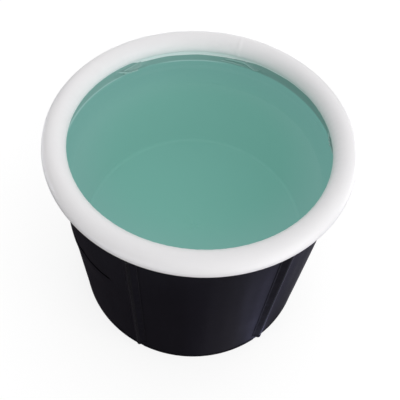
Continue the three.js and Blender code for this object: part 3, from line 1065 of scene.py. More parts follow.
def stitch_paths(azimuth):
    """Both edges, then the hem, of one sleeve."""
    low, high = sleeve_low[2] + 4 * mm, sleeve_high[2] - 2 * mm
    sew = sleeve_half - edge_inset
    angle = radians(azimuth - 90)
    out = np.array([cos(angle), sin(angle), 0])
    side = np.array([-sin(angle), cos(angle), 0])
    up = np.array([0, 0, 1])
    reach = sqrt((wall_radius + fit_gap) ** 2 - sew**2) + sheet_thickness
    sides = [out * reach + side * across for across in (-sew, sew)]
    edges = [np.array([foot + up * z for z in (low, high)]) for foot in sides]
    hem_line = sleeve_low[2] + hem_inset
    hem = sleeve_section(hem_line, 0.0)[hem_margin:section_points - hem_margin]
    return edges + [np.array([out * x + side * y + up * hem_line for x, y in hem])]


paths = [path for azimuth in rod_azimuths for path in stitch_paths(azimuth)]
values = {
    "Pitch": stitch_pitch,
    "Length": stitch_length,
    "Thread": thread_radius,
    "Material": thread.material,
}
stitches = grown("sleeve_stitches", paths, stitch_tree(), values)
piece("sleeve_stitches", stitches, thread, "tub")
print("stitch faces:", len(stitches.polygons))

# %% [markdown]
# ## The liner
# The liner hangs loose from the ring. Where a rod pulls the rim, the sheet has too much width and
# falls into small slanting folds just under the ring, and below them it is pressed flat. Its foot
# turns into the floor with a soft round weld. The net carries an attribute that says where a crest
# is, so that the finish can paint a highlight on the crests and shade between them.

# %% Gather the liner
bunch_ridges = 4
bunch_drop = 4.6 * mm


def ridge(azimuth, height, points, width, rise):
    """A fold along points of (degrees, millimetres), which fades at both its ends."""
    line = np.array(sorted(points))
    middle = np.interp(azimuth, line[:, 0], line[:, 1] * mm)
    start, end = line[0, 0], line[-1, 0]
    fade = within(azimuth, start - 0.5, start + 1.5, end - 1.5, end + 0.5)
    return rise * fade * np.exp(-(((height - middle) / width) ** 2))


def bunch(away, height):
    """Fine folds that are squeezed together beside a rod, over one that droops."""
    relief = ridge(away, height, [(-9, 590), (0, 588), (9, 592)], 12 * mm, 3 * mm)
    for number in range(bunch_ridges):
        drop = number * bunch_drop / mm
        line = [(-5.5, 604 - drop), (0, 597 - drop), (5, 594 - drop)]
        relief = relief + ridge(away, height, line, 1.4 * mm, 3.2 * mm)
    droop = [(-4, 577.5), (0, 580.5), (3, 588), (7, 598)]
    relief = relief + ridge(away, height, droop, 2.6 * mm, 5.5 * mm)
    return relief + ridge(away, height, [(4, 567), (12, 568), (22, 567)], 1.8 * mm, 2.4 * mm)


def swag(away, height):
    """A fold that hangs in a loop below a rod, and runs out along the weld."""
    loop = [(-5, 602), (-3.4, 587), (-1.6, 581), (0, 587), (3.7, 598), (8, 597), (14, 594)]
    relief = ridge(away, height, loop, 4 * mm, 4 * mm)
    relief = relief + ridge(away, height, [(-9, 590), (0, 590), (9, 592)], 10 * mm, 2 * mm)
    return relief + ridge(away, height, [(3, 582), (9, 585), (16, 586)], 2 * mm, 2.2 * mm)


# %% Fold the liner
fold_top, fold_foot = 613 * mm, 556 * mm
slack = 0.5 * mm
crest_measure = 1.2 * mm


def liner_relief(azimuth, height):
    """How far the liner stands into the tub from its cylinder."""
    turns = np.radians(azimuth)
    relief = slack * np.sin(7 * turns + height * 9) * np.sin(height * 14 + 1)
    hung = smooth(height, liner_foot + 40 * mm, liner_foot + 120 * mm)
    relief = relief * hung
    for rod, gathers in zip(rod_azimuths, [swag, bunch] * (rod_count // 2)):
        away = (azimuth - rod + 180) % 360 - 180
        relief = relief + gathers(away, height)
    return relief * (1 - smooth(height, fold_top - 12 * mm, fold_top))


def fold_crests(relief):
    """Near 1 on the crests of the folds and -1 between them, with a few rows as measure."""
    around = sum(np.roll(relief, step, 1) for step in range(-4, 5)) / 9
    return (relief - around) / crest_measure


folds = liner_relief(np.arange(360)[:, None], np.linspace(fold_foot, fold_top, 60)[None, :])
print("folds stand", round(float(folds.max() / mm), 1), "mm into the tub at most")

# %% Hang the liner
liner_steps = 720
foot_round = 14 * mm
plain_row, fold_row = 16 * mm, 0.9 * mm


def liner_wall():
    """One closed net: from the round weld up the inner face, and down the outer face."""
    azimuth = np.linspace(-180, 180, liner_steps, endpoint=False)[:, None]
    bend = np.linspace(0, pi / 2, 8)[1:]
    foot_heights = floor_top + foot_round * (1 - np.sin(pi / 2 - bend))
    foot_in = foot_round * (1 - np.sin(bend))
    low = np.arange(floor_top + foot_round + plain_row / 2, fold_foot, plain_row)
    high = np.arange(fold_foot, wall_top, fold_row)
    heights = np.concatenate([foot_heights, low, high, [wall_top]])
    inward = np.concatenate([foot_in, np.zeros(len(low) + len(high) + 1)])
    relief = liner_relief(azimuth, heights[None, :])
    radius = liner_radius - inward[None, :] - relief
    back = np.linspace(wall_top, liner_foot, 6)
    outer = np.full((liner_steps, 6), liner_outer)
    toe = np.full((liner_steps, 1), liner_radius - foot_round)
    toe_height = np.array([floor_top - 0.5 * mm])
    radii = np.concatenate([radius, outer, toe], 1)
    all_heights = np.concatenate([heights, back, toe_height])
    points = around_tub(azimuth, radii, all_heights[None, :] + 0 * azimuth)
    lengths = (
        np.linspace(0, 2 * pi * liner_radius, liner_steps + 1),
        np.concatenate([all_heights, all_heights[:1]]),
    )
    mesh = net("hung_liner", points, lengths=lengths)
    folds = np.zeros(points.shape[:2], np.float32)
    folds[:, :len(heights)] = fold_crests(relief) * smooth(heights, fold_foot, fold_foot + 5 * mm)
    mesh.attributes.new("fold", "FLOAT", "POINT").data.foreach_set("value", folds.reshape(-1))
    return piece("hung_liner", tidied(mesh, sharp=70), liner, "tub", "liner_wall")


hung = liner_wall()
drain_hole(hung)
print("liner faces:", len(hung.data.polygons))

# %% Lay the liner's floor
floor_rings = 40
floor_wave = 0.6 * mm


def floor_shape(angle, radius, height):
    """Lets the floor's upper face lie in soft waves."""
    wave = np.sin(19 * radius + 2 * np.sin(2 * angle)) * np.cos(3 * angle + 11 * radius)
    top = height > floor_top - sheet_thickness / 2
    inner = 1 - smooth(radius, liner_radius - 60 * mm, liner_radius - 20 * mm)
    return radius, height + np.where(top, floor_wave * wave * inner, 0)


def liner_floor():
    """A disc with rings of points on its upper face, for the waves."""
    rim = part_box("liner_floor")[1][0]
    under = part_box("liner_floor")[0][2]
    tops = [(rim * (1 - step / floor_rings), floor_top) for step in range(floor_rings)]
    outline = [(0, under), (rim, under), *tops, (0, floor_top)]
    mesh = turned("floor_liner", outline, None, 180, 0, floor_shape)
    return piece("floor_liner", mesh, liner, "tub", "liner_floor")


print("floor faces:", len(liner_floor().data.polygons))

# %% [markdown]
# ## The foam
# A thin foam keeps the water cold. It fills the gap between the outer cloth and the
# liner, and is dented where the cloth is creased, so that the cloth never cuts into it.
# The pad under the floor is the frame's own solid with the foam's finish on it.

# %% Pad the wall
foam_row = 30 * mm
foam_fold = 8 * mm


def foam_sleeve():
    """A closed net whose outer face follows the cloth's valleys, but not its swells."""
    low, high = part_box("wall_foam")
    face = high[0]
    azimuth = np.linspace(-180, 180, wall_steps, endpoint=False)[:, None]
    fold = np.arange(crease_height - foam_fold, crease_height + foam_fold, crease_rows)
    height = np.unique(np.concatenate([np.arange(low[2], high[2], foam_row), fold, [high[2]]]))
    outside = face + np.minimum(wall_relief(azimuth, height[None, :]), 0)
    inside = np.full((wall_steps, 2), liner_outer + fit_gap)
    radius = np.concatenate([outside, inside], 1)
    heights = np.concatenate([height, [high[2], low[2]]])
    points = around_tub(azimuth, radius, heights[None, :] + 0 * azimuth)
    return piece("wall_padding", tidied(net("wall_padding", points)), foam, "tub", "wall_foam")


def refinish(node, finish):
    """Gives one of the frame's own solids a finish."""
    materials = frame["nodes"][node].data.materials
    materials.clear()
    materials.append(finish.material)


padding = foam_sleeve()
drain_hole(padding)
refinish("base_foam", foam)
print("foam faces:", len(padding.data.polygons))

# %% [markdown]
# ## The rods
# A rod is a length of white pipe with a black plug pressed into each end. The plug's head
# is chamfered, so that it finds its way up the sleeve.

# %% Cut the rods
plug_head = 4 * mm
plug_chamfer = 1.2 * mm
stem_taper = (0.6 * mm, 1.5 * mm)
pipe_wall = 1.5 * mm
rod_steps = 48


def rod_plug(name, place, body, node):
    """A plug that stands on its head at the origin of place."""
    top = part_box(node)[1][2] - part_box(node)[0][2]
    stem = rod_radius - pipe_wall - fit_gap
    narrowing, length = stem_taper
    outline = [
        (0, 0),
        (rod_radius - plug_chamfer, 0),
        (rod_radius, plug_chamfer),
        (rod_radius, plug_head),
        (stem, plug_head),
        (stem, top - length),
        (stem - narrowing, top),
        (0, top),
    ]
    return piece(name, turned(name, outline, place, rod_steps), plastic, body, node)


def support_rod(number, azimuth):
    """A pipe and its two plugs, the upper one turned over. Gives the pipe's length."""
    body = f"support_rod_{number}"
    x, y, _ = around_tub(azimuth, rod_distance, 0.0)
    low, high = (corner[2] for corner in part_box(f"rod_{number}"))
    bore = rod_radius - pipe_wall
    outline = [(bore, low), (rod_radius, low), (rod_radius, high), (bore, high)]
    tube = turned(f"pipe_{number}", outline, Matrix.Translation((x, y, 0)), rod_steps)
    piece(f"pipe_{number}", tube, pipe, body, f"rod_{number}")
    foot = Matrix.Translation((x, y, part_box(f"rod_foot_{number}")[0][2]))
    cap = Matrix.Translation((x, y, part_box(f"rod_cap_{number}")[1][2]))
    rod_plug(f"pipe_foot_{number}", foot, body, f"rod_foot_{number}")
    upside_down = cap @ Matrix.Rotation(pi, 4, "X")
    rod_plug(f"pipe_cap_{number}", upside_down, body, f"rod_cap_{number}")
    return high - low


lengths = [support_rod(number, azimuth) for number, azimuth in enumerate(rod_azimuths, 1)]
print("rods", round(max(lengths), 3), "long between their plugs' heads")

# %% [markdown]
# ## The drain
# The drain is a moulded fitting through the wall, clamped by a hexagonal nut on two
# gaskets. Outside it ends in a hose thread under a ribbed cap, and inside a rubber plug
# stops it. Everything here is turned about one axis, so the outlines are written as
# distances from the tub's own axis, measured on the frame's solids, and the thread, the
# ribs and the six flats are changes of the radius with the angle.

# %% Set out the drain
spin = joint("drain_cap_turn")
drain_place = axis_place(Vector((0, 0, spin["pos_m"][2])), Vector(spin["axis"]))
flange_inside, spout_end, flange_radius = span("drain_fitting", drain_place)
nut_inside, nut_outside, nut_corner = span("drain_nut", drain_place)
washer_outside, spout_radius = span("drain_cap_washer", drain_place)[1:]
skirt, cap_end, cap_radius = span("drain_cap", drain_place)
plug_stem_end, plug_head_radius = span("drain_plug", drain_place)[1:]
flange_face = flange_inside + 3.5 * mm
flange_slope = (6 * mm, 1.5 * mm)
barrel_end = nut_outside + 1 * mm
barrel_radius = 15.5 * mm
bore_radius = 10 * mm
print("drain from", round(flange_inside, 4), "to", round(cap_end, 4), "from the tub's axis")

# %% Turn the fitting
thread_pitch = 3 * mm
thread_depth = 0.9 * mm
thread_fade = 1.5 * mm
thread_points = 40


def spout_thread(angle, radius, height):
    """Winds a rounded thread round the spout, fading out at both ends."""
    on_spout = (np.abs(radius - spout_radius) < 0.01 * mm) & (height > barrel_end + 0.5 * mm)
    wave = 0.5 + 0.5 * np.cos(2 * pi * height / thread_pitch - angle)
    ends = (barrel_end, barrel_end + thread_fade, spout_end - thread_fade, spout_end)
    fade = within(height, *ends)
    return np.where(on_spout, radius - thread_depth * (1 - wave) * fade, radius), height


def drain_fitting():
    """The flange inside the tub, the barrel through its wall and the threaded spout."""
    spout = np.linspace(barrel_end, spout_end, thread_points + 1)
    inset, rise = flange_slope
    outline = [
        (bore_radius, flange_inside),
        (flange_radius - inset, flange_inside),
        (flange_radius, flange_inside + rise),
        (flange_radius, flange_face),
        (barrel_radius, flange_face),
        (barrel_radius, barrel_end),
        *[(spout_radius, height) for height in spout],
        (bore_radius, spout_end),
    ]
    mesh = turned("drain_body", outline, drain_place, 96, 0.4 * mm, spout_thread)
    return piece("drain_body", mesh, plastic, "tub", "drain_fitting")


print("fitting faces:", len(drain_fitting().data.polygons))

# %% Cut the nut
nut_chamfer = (1.5 * mm, 2 * mm)
nut_flat = 4 * mm
nut_points = 8


def hexagon(angle, corner):
    """The radius of a hexagon with its corners at that radius."""
    return corner * cos(pi / 6) / np.cos((angle + pi / 6) % (pi / 3) - pi / 6)


def nut_shape(angle, radius, height):
    """Cuts six flats, with the corners chamfered on the outer face."""
    length, depth = nut_chamfer
    chamfer = nut_corner - smooth(height, nut_outside - length, nut_outside) * depth
    flats = np.minimum(hexagon(angle, nut_corner), chamfer)
    return np.where(radius > nut_corner - 5 * mm, flats, radius), height


def drain_nut():
    """The lock nut, whose faces stay flat as far out as nut_flat from its bore."""
    bore = barrel_radius + fit_gap
    side = np.linspace(nut_inside, nut_outside, nut_points + 1)
    outline = [
        (bore, nut_inside),
        (bore + nut_flat, nut_inside),
        *[(nut_corner, height) for height in side],
        (bore + nut_flat, nut_outside),
        (bore, nut_outside),
    ]
    mesh = turned("drain_lock_nut", outline, drain_place, 96, 0.2 * mm, nut_shape)
    return piece("drain_lock_nut", mesh, plastic, "tub", "drain_nut")


print("nut faces:", len(drain_nut().data.polygons))
refinish("drain_inner_gasket", rubber)
refinish("drain_outer_gasket", rubber)

# %% Cap the drain
cap_bore = spout_radius + fit_gap
cap_ribs = 16
rib_depth = 1 * mm
cap_dish = (9 * mm, 8 * mm, 0.6 * mm)


def cap_shape(angle, radius, height):
    """Ribs the skirt for the hand."""
    rib = smooth(np.cos(cap_ribs * angle), -0.4, 0.4)
    return np.where(radius > cap_radius - 0.3 * mm, radius - rib_depth * (1 - rib), radius), height


def drain_cap():
    """A cap whose skirt clears the spout, with a shallow dish in its end."""
    rim, dish, depth = cap_dish
    outline = [
        (0, washer_outside + fit_gap),
        (cap_bore, washer_outside + fit_gap),
        (cap_bore, skirt),
        (cap_radius, skirt),
        (cap_radius, cap_end - 1 * mm),
        (cap_radius - 1 * mm, cap_end),
        (rim, cap_end),
        (dish, cap_end - depth),
        (0, cap_end - depth),
    ]
    mesh = turned("drain_screw_cap", outline, drain_place, 192, 0.25 * mm, cap_shape)
    return piece("drain_screw_cap", mesh, plastic, "drain_screw_cap", "drain_cap")


def washer(name, place, bore, corner, body, node):
    """A ring of the height and width of its node, or a disc where the bore is 0."""
    low, high, radius = span(node, place)
    outline = [(bore, low), (radius, low), (radius, high), (bore, high)]
    return piece(name, turned(name, outline, place, 64, corner), rubber, body, node)


print("cap faces:", len(drain_cap().data.polygons))
washer("cap_washer", drain_place, 0, 0.3 * mm, "drain_washer", "drain_cap_washer")

# %% Plug the drain
plug_head_outside = flange_inside - fit_gap
plug_head_inside = plug_head_outside - 3 * mm
lip_rise = 0.8 * mm
lip_places = ((3, -1), (4, 0), (6, -1), (8, 0))
tab_width, tab_height, tab_thickness = 16 * mm, 14 * mm, 3 * mm
tab_shares = [(0.5, 0.0), (0.5, 0.5), (0.42, 0.8), (0.25, 1.0)]


def slab(made, rows):
    """Joins two rows of points, one facing the other, to a closed solid."""
    first, second = ([made.verts.new(point) for point in row] for row in rows)
    made.faces.new(first)
    made.faces.new(list(reversed(second)))
    for k in range(len(first)):
        after = (k + 1) % len(first)
        made.faces.new([first[after], first[k], second[k], second[after]])
    bmesh.ops.recalc_face_normals(made, faces=made.faces)


def drain_plug():
    """A mushroom of rubber with two sealing lips and a pull tab, joined to one solid."""
    stem = bore_radius - fit_gap
    outline = [
        (0, plug_head_inside),
        (plug_head_radius - 1 * mm, plug_head_inside),
        (plug_head_radius, plug_head_outside),
        (stem - lip_rise, plug_head_outside),
        *[(stem + lip_rise * out, plug_head_outside + on * mm) for on, out in lip_places],
        (stem - 1.5 * mm, plug_stem_end),
        (0, plug_stem_end),
    ]
    mesh = turned("drain_stopper", outline, drain_place, 64, 0.4 * mm)
    made = bmesh.new()
    made.from_mesh(mesh)
    low = plug_head_inside + 1 * mm
    outer = [(tab_width * wide, low - tab_height * long) for wide, long in tab_shares]
    line = outer + [(-x, z) for x, z in reversed(outer)]
    sides = (-tab_thickness / 2, tab_thickness / 2)
    slab(made, [[drain_place @ Vector((x, y, z)) for x, z in line] for y in sides])
    made.to_mesh(mesh)
    made.free()
    mesh.set_sharp_from_angle(angle=radians(40))
    return piece("drain_stopper", mesh, rubber, "drain_stopper", "drain_plug")


print("plug faces:", len(drain_plug().data.polygons))

# %% [markdown]
# ## The air valve
# The valve sits under the back of the ring. A vinyl base is welded to the sheet, an
# insert screws into it on a seal, and a cap on a strap closes it. Under the insert's
# floor hangs a rubber flap that lets air in but not out. The vent holes in that floor
# aren't drawn. The outlines are written as distances from the centre of the ring's tube.

# %% Set out the valve
valve_axis = Vector(joint("valve_insert_turn")["axis"])
valve_place = axis_place(Vector((0, ring_radius, ring_height)), valve_axis)
neck_low, neck_top, flange_edge = span("valve_base", valve_place)
insert_low, head_high = span("valve_insert", valve_place)[:2]
seal_low, seal_high, neck_radius = span("valve_seal", valve_place)
flap_low, flap_high, flap_radius = span("valve_flap", valve_place)
cap_tip, cap_high = span("valve_cap", valve_place)[:2]
flange_top = tube_radius + 1.4 * mm
neck_bore = neck_radius - 2 * mm
insert_radius = neck_bore - fit_gap
insert_bore = insert_radius - 2 * mm
insert_floor = 1 * mm
head_low = seal_high + fit_gap
cap_low = head_high + fit_gap
strap_end = 10.8 * mm
strap_width = 5 * mm
print("valve stands", round(cap_high - tube_radius, 4), "out of the ring")

# %% Turn the valve's base and insert
grip_count = 12
grip_depth = 0.5 * mm


def grips(angle, radius, height):
    """Notches the insert's head for the fingers."""
    notch = smooth(np.cos(grip_count * angle), 0.2, 0.8)
    return np.where(radius > neck_radius - 0.3 * mm, radius - grip_depth * notch, radius), height


def valve_base():
    """The neck, and the flange that is welded to the ring."""
    outline = [
        (neck_bore, neck_low),
        (neck_radius, neck_low),
        (neck_radius, tube_radius - 3.5 * mm),
        (flange_edge, tube_radius - 2 * mm),
        (flange_edge, flange_top - 0.4 * mm),
        (flange_edge - 0.8 * mm, flange_top),
        (neck_radius, flange_top + 0.2 * mm),
        (neck_radius, neck_top),
        (neck_bore, neck_top),
    ]
    mesh = turned("valve_neck", outline, valve_place, 64, 0.25 * mm)
    return piece("valve_neck", mesh, clear, "tub", "valve_base")


def valve_insert():
    """A cup in the neck, whose head rests on the seal."""
    outline = [
        (0, insert_low),
        (insert_radius, insert_low),
        (insert_radius, head_low),
        (neck_radius, head_low),
        (neck_radius, head_high),
        (insert_bore, head_high),
        (insert_bore, insert_low + insert_floor),
        (0, insert_low + insert_floor),
    ]
    mesh = turned("valve_screw_insert", outline, valve_place, 96, 0.2 * mm, grips)
    return piece("valve_screw_insert", mesh, clear, "air_valve_insert", "valve_insert")


for fitting in (valve_base(), valve_insert()):
    print(fitting.name, "faces:", len(fitting.data.polygons))

# %% Cap and seal the valve
snap_dish = (5 * mm, 4 * mm, 0.4 * mm)
plug_taper = 1.3 * mm
cap_bevel = (0.6 * mm, 0.3 * mm)


def valve_cap():
    """A disc with a tapered plug that goes into the insert."""
    plug = insert_bore - fit_gap
    rim, dish, depth = snap_dish
    inset, drop = cap_bevel
    outline = [
        (0, cap_tip),
        (plug - plug_taper, cap_tip),
        (plug, cap_low),
        (neck_radius, cap_low),
        (neck_radius, cap_high - drop),
        (neck_radius - inset, cap_high),
        (rim, cap_high),
        (dish, cap_high - depth),
        (0, cap_high - depth),
    ]
    mesh = turned("valve_snap_cap", outline, valve_place, 64, 0.2 * mm)
    return piece("valve_snap_cap", mesh, clear, "air_valve_cap", "valve_cap")


def valve_flap():
    """A disc under the insert's floor, on a stem with a bead that holds it there."""
    thick, stem, bead = 0.8 * mm, 0.9 * mm, 1.5 * mm
    floor_face = insert_low + insert_floor + fit_gap
    outline = [
        (0, flap_low),
        (flap_radius - 0.2 * mm, flap_low),
        (flap_radius, flap_low + thick),
        (stem, flap_low + thick),
        (stem, floor_face),
        (bead, floor_face),
        (stem, flap_high),
        (0, flap_high),
    ]
    mesh = turned("valve_rubber_flap", outline, valve_place, 48, 0.1 * mm)
    return piece("valve_rubber_flap", mesh, rubber, "air_valve_insert", "valve_flap")


valve_cap()
valve_flap()
washer("valve_seal_ring", valve_place, neck_bore, 0.2 * mm, "air_valve_seal", "valve_seal")
print("seal", round(seal_high - seal_low, 5), "thick")

# %% Strap the cap to the insert
strap_start = 6 * mm
hinge = joint("valve_cap_open")
hinge_side = (valve_place.inverted() @ Vector(hinge["pos_m"])).to_2d()
valve_turned = valve_place @ Matrix.Rotation(atan2(hinge_side.y, hinge_side.x), 4, "Z")


def strap(name, low, high, reach, body):
    """A flat strip from the valve's head to its hinge."""
    made = bmesh.new()
    half = strap_width / 2
    line = [(strap_start, -half), (reach, -half), (reach, half), (strap_start, half)]
    slab(made, [[valve_turned @ Vector((x, y, z)) for x, y in line] for z in (low, high)])
    bmesh.ops.bevel(made, geom=list(made.edges), offset=0.3 * mm, segments=2, affect="EDGES")
    mesh = bpy.data.meshes.new(name)
    made.to_mesh(mesh)
    made.free()
    mesh.shade_smooth()
    mesh.set_sharp_from_angle(angle=radians(50))
    return piece(name, mesh, clear, body)


strap("valve_insert_lug", head_low, head_high, strap_end - fit_gap, "air_valve_insert")
strap("valve_cap_strap", cap_low, cap_high, strap_end, "air_valve_cap")
print("strap", round(strap_end - strap_start, 4), "long")

# %% [markdown]
# ## The water
# The tub is photographed full, and much of what the picture shows is the liner seen through
# water, with the floor lifted by refraction. The water isn't part of the tub, so it is
# a stage piece. It bends what the camera sees, is slightly cloudy, and has a thin bright
# rim on the side that faces the lamp. It casts no shadow, which keeps the liner evenly
# lit. To diffuse rays it is a plain light, which stands for what the real surface throws
# up onto the strip and the ring.

# %% Tint the water
water_index = 1.333
cloudiness, rim_cloudiness = 0.5, 0.2
bright_line = 2.5 * mm
bright_end = (0.04, 0.15)
fold_shade, fold_shadow = 0.8, (-0.23, -0.18, -0.11, -0.06)
green_left, green_right = (0.235, 0.635, 0.54, 1), (0.18, 0.53, 0.445, 1)
green_edge, green_rim = (0.32, 0.61, 0.59, 1), (0.36, 0.61, 0.58, 1)
thrown_up, thrown_far_left = (0.42, 0.5, 0.46, 1), (1.22, 1.27, 1.3, 1)
beside_left, beside_right = (0.2, 0.45, 0.39, 1), (0.15, 0.32, 0.27, 1)


def lit_rim(x, from_axis):
    """The share of the bright rim, which ends at the right and is weak behind a fold."""
    lit = (1 - x.step(*bright_end)) * (1 - fold_shade * x.within(*fold_shadow))
    return from_axis.step(liner_radius - 2 * bright_line, liner_radius - bright_line) * lit


def cloud(fluid, x, from_axis, rim):
    """The cloudy water's own light, deeper at the right and paler towards the liner."""
    tint = fluid.mix(x.step(-liner_radius, liner_radius), green_left, green_right)
    tint = fluid.mix(0.5 * from_axis.step(0.2, liner_radius), tint, green_edge)
    return fluid.glow(fluid.mix(rim, tint, green_rim))


def glitter(fluid, x, y, from_axis):
    """The light thrown up, strong at the far left and green beside the liner."""
    open_water = fluid.mix((0.7 * (y - x)).step(0.0, 0.25), thrown_up, thrown_far_left)
    beside = fluid.mix(x.step(0.0, 0.2), beside_left, beside_right)
    return fluid.glow(fluid.mix(from_axis.step(0.26, 0.33), open_water, beside))


def still_water():
    """Bends the camera's rays, is a light to diffuse ones, and lets shadow rays through."""
    fluid = Finish("still_water")
    x, y, _ = fluid.split(fluid.place())
    from_axis = (x * x + y * y) ** 0.5
    rim = lit_rim(x, from_axis)
    bent = fluid.node("ShaderNodeBsdfRefraction", None, {"IOR": water_index, "Roughness": 0.0})
    open_path = fluid.node("ShaderNodeBsdfTransparent")
    through = fluid.blend(fluid.ray("Camera"), open_path, bent)
    deep = fluid.blend(cloudiness + rim_cloudiness * rim, through, cloud(fluid, x, from_axis, rim))
    deep = fluid.blend(fluid.ray("Diffuse"), deep, glitter(fluid, x, y, from_axis))
    mirrored = fluid.node("ShaderNodeBsdfGlossy", None, {"Roughness": 0.0})
    wet = fluid.blend(fluid.node("ShaderNodeFresnel", None, {"IOR": water_index}), deep, mirrored)
    return fluid.surface(fluid.blend(fluid.ray("Shadow"), wet, open_path))


# %% Fill the tub for the picture
water_level = 578 * mm
meniscus = 2.5 * mm
edge_overlap = 0.6 * mm
azimuths, rings = 360, 8


def water():
    """A flat disc that curls up where it wets the liner."""
    edge = liner_radius + edge_overlap
    azimuth = np.linspace(0, 360, azimuths, endpoint=False)[:, None]
    shares = np.linspace(0, 1, rings)[None, :]
    curl = np.where(shares > 0, meniscus * (1 - np.sqrt(1 - shares**2 * 0.98)), 0)
    level = [np.full((azimuths, 1), water_level), water_level + curl + 0 * azimuth]
    radius = [np.zeros((azimuths, 1)), edge - meniscus * (1 - shares) + 0 * azimuth]
    points = around_tub(azimuth, np.concatenate(radius, 1), np.concatenate(level, 1))
    mesh = net("tub_water", points, closed=False)
    made = bmesh.new()
    made.from_mesh(mesh)
    bmesh.ops.remove_doubles(made, verts=made.verts, dist=1e-6)
    for face in made.faces:
        if face.normal.z < 0:
            face.normal_flip()
    made.to_mesh(mesh)
    made.free()
    mesh.shade_smooth()
    surface = bpy.data.objects.new("tub_water", mesh)
    bpy.context.collection.objects.link(surface)
    mesh.materials.append(still_water().material)
    return surface


print("water faces:", len(water().data.polygons))

# %% [markdown]
# ## The studio
# The tub stands on a pale floor in soft light. The sky gives even light with a soft box
# in each of seven directions, and one plain lamp stands low at the front right. The
# camera sees the floor and the backdrop as white, while the light that the floor returns
# to the tub is dim at the back left and brighter at the front right. In the tub's gloss the
# floor near it is mostly dark, with a cool bright strip that draws the highlight on the
# black wall, and pale cards lie farther out for the sides and the back.

# %% Paint what the gloss mirrors
wall_tones = [
    (-8, (0.046, 0.041, 0.051)),
    (-4, (0.058, 0.053, 0.073)),
    (14, (0.17, 0.162, 0.2)),
    (19, (0.21, 0.21, 0.29)),
    (26, (0.39, 0.39, 0.64)),
    (33, (0.155, 0.15, 0.185)),
    (36, (0.105, 0.1, 0.125)),
    (40, (0.105, 0.1, 0.125)),
    (43, (0.18, 0.175, 0.21)),
    (52, (0.42, 0.42, 0.47)),
]
tone_start, tone_span = -8, 60
facing_fit = (0.066, 0.299, 3.147, -8.274)
card_count, first_card = 5, radians(130)
card_dark, card_bright = (0.35, 0.35, 0.4, 1), (3.2, 3.2, 3.4, 1)
near_share, far_share, card_rise = 0.4, 0.6, (0.9, 1.5)
behind_turn, beyond = (radians(110), radians(135)), (1.05, 1.8)


def mirrored_floor(paper):
    """What the floor shows in the tub's gloss. Beside the tub, its tones are set by the
    direction, in degrees, that the wall faces where it mirrors each spot in the picture.
    facing_fit gives that direction, and was fitted to the camera's rays off the wall.
    Behind the tub and farther out, broad cards lie round it, for the other sides."""
    x, y, _ = paper.split(paper.place())
    azimuth = paper.node("ShaderNodeMath", {"operation": "ARCTAN2"}, {0: x, 1: -1 * y})
    radius = (x * x + y * y) ** 0.5
    near = radius.math("MINIMUM", radius, 1.0)
    turning, near_turning, near_offset, offset = facing_fit
    facing = azimuth * degrees(1) * (turning + near_turning / near) + near_offset / near + offset
    stops = [((turn - tone_start) / tone_span, tone) for turn, tone in wall_tones]
    share = (facing - tone_start) / tone_span
    tone = paper.node("ShaderNodeValToRGB", {"stops": stops}, {0: share})
    cards = 0.5 + 0.5 * ((azimuth + first_card) * card_count).sin()
    cards = cards * (near_share + far_share * radius.step(*card_rise))
    away = 1 - (1 - abs(azimuth).step(*behind_turn)) * (1 - radius.step(*beyond))
    return paper.glow(paper.mix(away, tone, paper.mix(cards, card_dark, card_bright)))


# %% Lay the floor
floor_reach = 12.0
floor_depth = 0.5 * mm
paper_tones = ((0.8, 0.8, 0.8, 1), (0.84, 0.84, 0.84, 1))
returned_tones = ((0.12, 0.12, 0.12, 1), (0.8, 0.8, 0.8, 1))
towards_right, towards_front, light_rise = 0.45, 0.9, (-0.2, 1.0)
floor_glow, glow_share = 1.22, 0.62


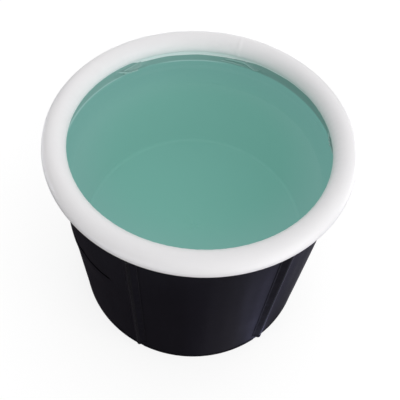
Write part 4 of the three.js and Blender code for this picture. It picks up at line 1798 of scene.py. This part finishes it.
def studio_floor():
    """White to the camera except where the tub shades it, grey to the tub's matt colours,
    and mostly dark in its gloss, as it was where the photograph was taken."""
    paper = Finish("pale_floor")
    seen = paper.ray("Camera")
    x, y, _ = paper.split(paper.place())
    front_right = (towards_right * x - towards_front * y).step(*light_rise)
    pale = paper.mix(paper.noise(paper.place(), 3.0), *paper_tones)
    colour = paper.mix(seen, paper.mix(front_right, *returned_tones), pale)
    matt = paper.node("ShaderNodeBsdfDiffuse", None, {"Color": colour})
    lit = paper.blend(glow_share * seen, matt, paper.glow((1, 1, 1, 1), floor_glow))
    paper.surface(paper.blend(paper.ray("Glossy"), lit, mirrored_floor(paper)))
    mesh = bpy.data.meshes.new("floor")
    corners = [(-1, -1), (1, -1), (1, 1), (-1, 1)]
    points = [(floor_reach * x, floor_reach * y, 0) for x, y in corners]
    mesh.from_pydata(points, [], [(0, 1, 2, 3)])
    ground = bpy.data.objects.new("floor", mesh)
    ground.location.z = -floor_depth
    bpy.context.collection.objects.link(ground)
    mesh.materials.append(paper.material)
    return ground


print("floor reaches", studio_floor().data.vertices[2].co.x, "out")

# %% Light the sky
even_light = 0.347
soft_boxes = [
    (0, 20, 0.5),
    (60, 20, 0.443),
    (120, 20, 0.278),
    (180, 20, 0.465),
    (235, 15, 0.11),
    (300, 20, 0.01),
    (0, 90, 0.24),
]


def sky():
    """White to the camera. To all else it is even light with soft boxes, each given as its
    azimuth, its rise in degrees and its strength."""
    heaven = Finish("studio_sky", None, bpy.data.worlds, "World")
    direction = heaven.place()
    light = even_light
    for azimuth, rise, strength in soft_boxes:
        aim = around_tub(azimuth, cos(radians(rise)), sin(radians(rise))).tolist()
        dot = {"operation": "DOT_PRODUCT"}
        towards = heaven.node("ShaderNodeVectorMath", dot, {0: direction, 1: aim}, "Value")
        light = light + strength * towards.math("MAXIMUM", towards, 0.0) ** 2
    lit = heaven.node("ShaderNodeBackground", None, {"Color": (1, 1, 1, 1), "Strength": light})
    white = heaven.node("ShaderNodeBackground", None, {"Color": (1, 1, 1, 1)})
    heaven.surface(heaven.blend(heaven.ray("Camera"), lit, white))
    return heaven.material


bpy.context.scene.world = sky()
print("soft boxes:", len(soft_boxes))

# %% Hang the lamp
lamp_place, lamp_target = Vector((2.3, -1.93, 1.1)), Vector((0, 0, 0.5))
lamp_size, lamp_watts = 1.8, 16


def key_lamp():
    """A round lamp that faces the middle of the tub."""
    data = bpy.data.lights.new("key_lamp", "AREA")
    data.shape = "DISK"
    data.size = lamp_size
    data.energy = lamp_watts
    made = bpy.data.objects.new("key_lamp", data)
    bpy.context.collection.objects.link(made)
    made.location = lamp_place
    made.rotation_euler = (lamp_target - lamp_place).to_track_quat("-Z", "Y").to_euler()
    return made


away = key_lamp().location - lamp_target
print("lamp", round(away.length, 2), "from the tub's middle")
bpy.context.scene.view_settings.view_transform = "Standard"
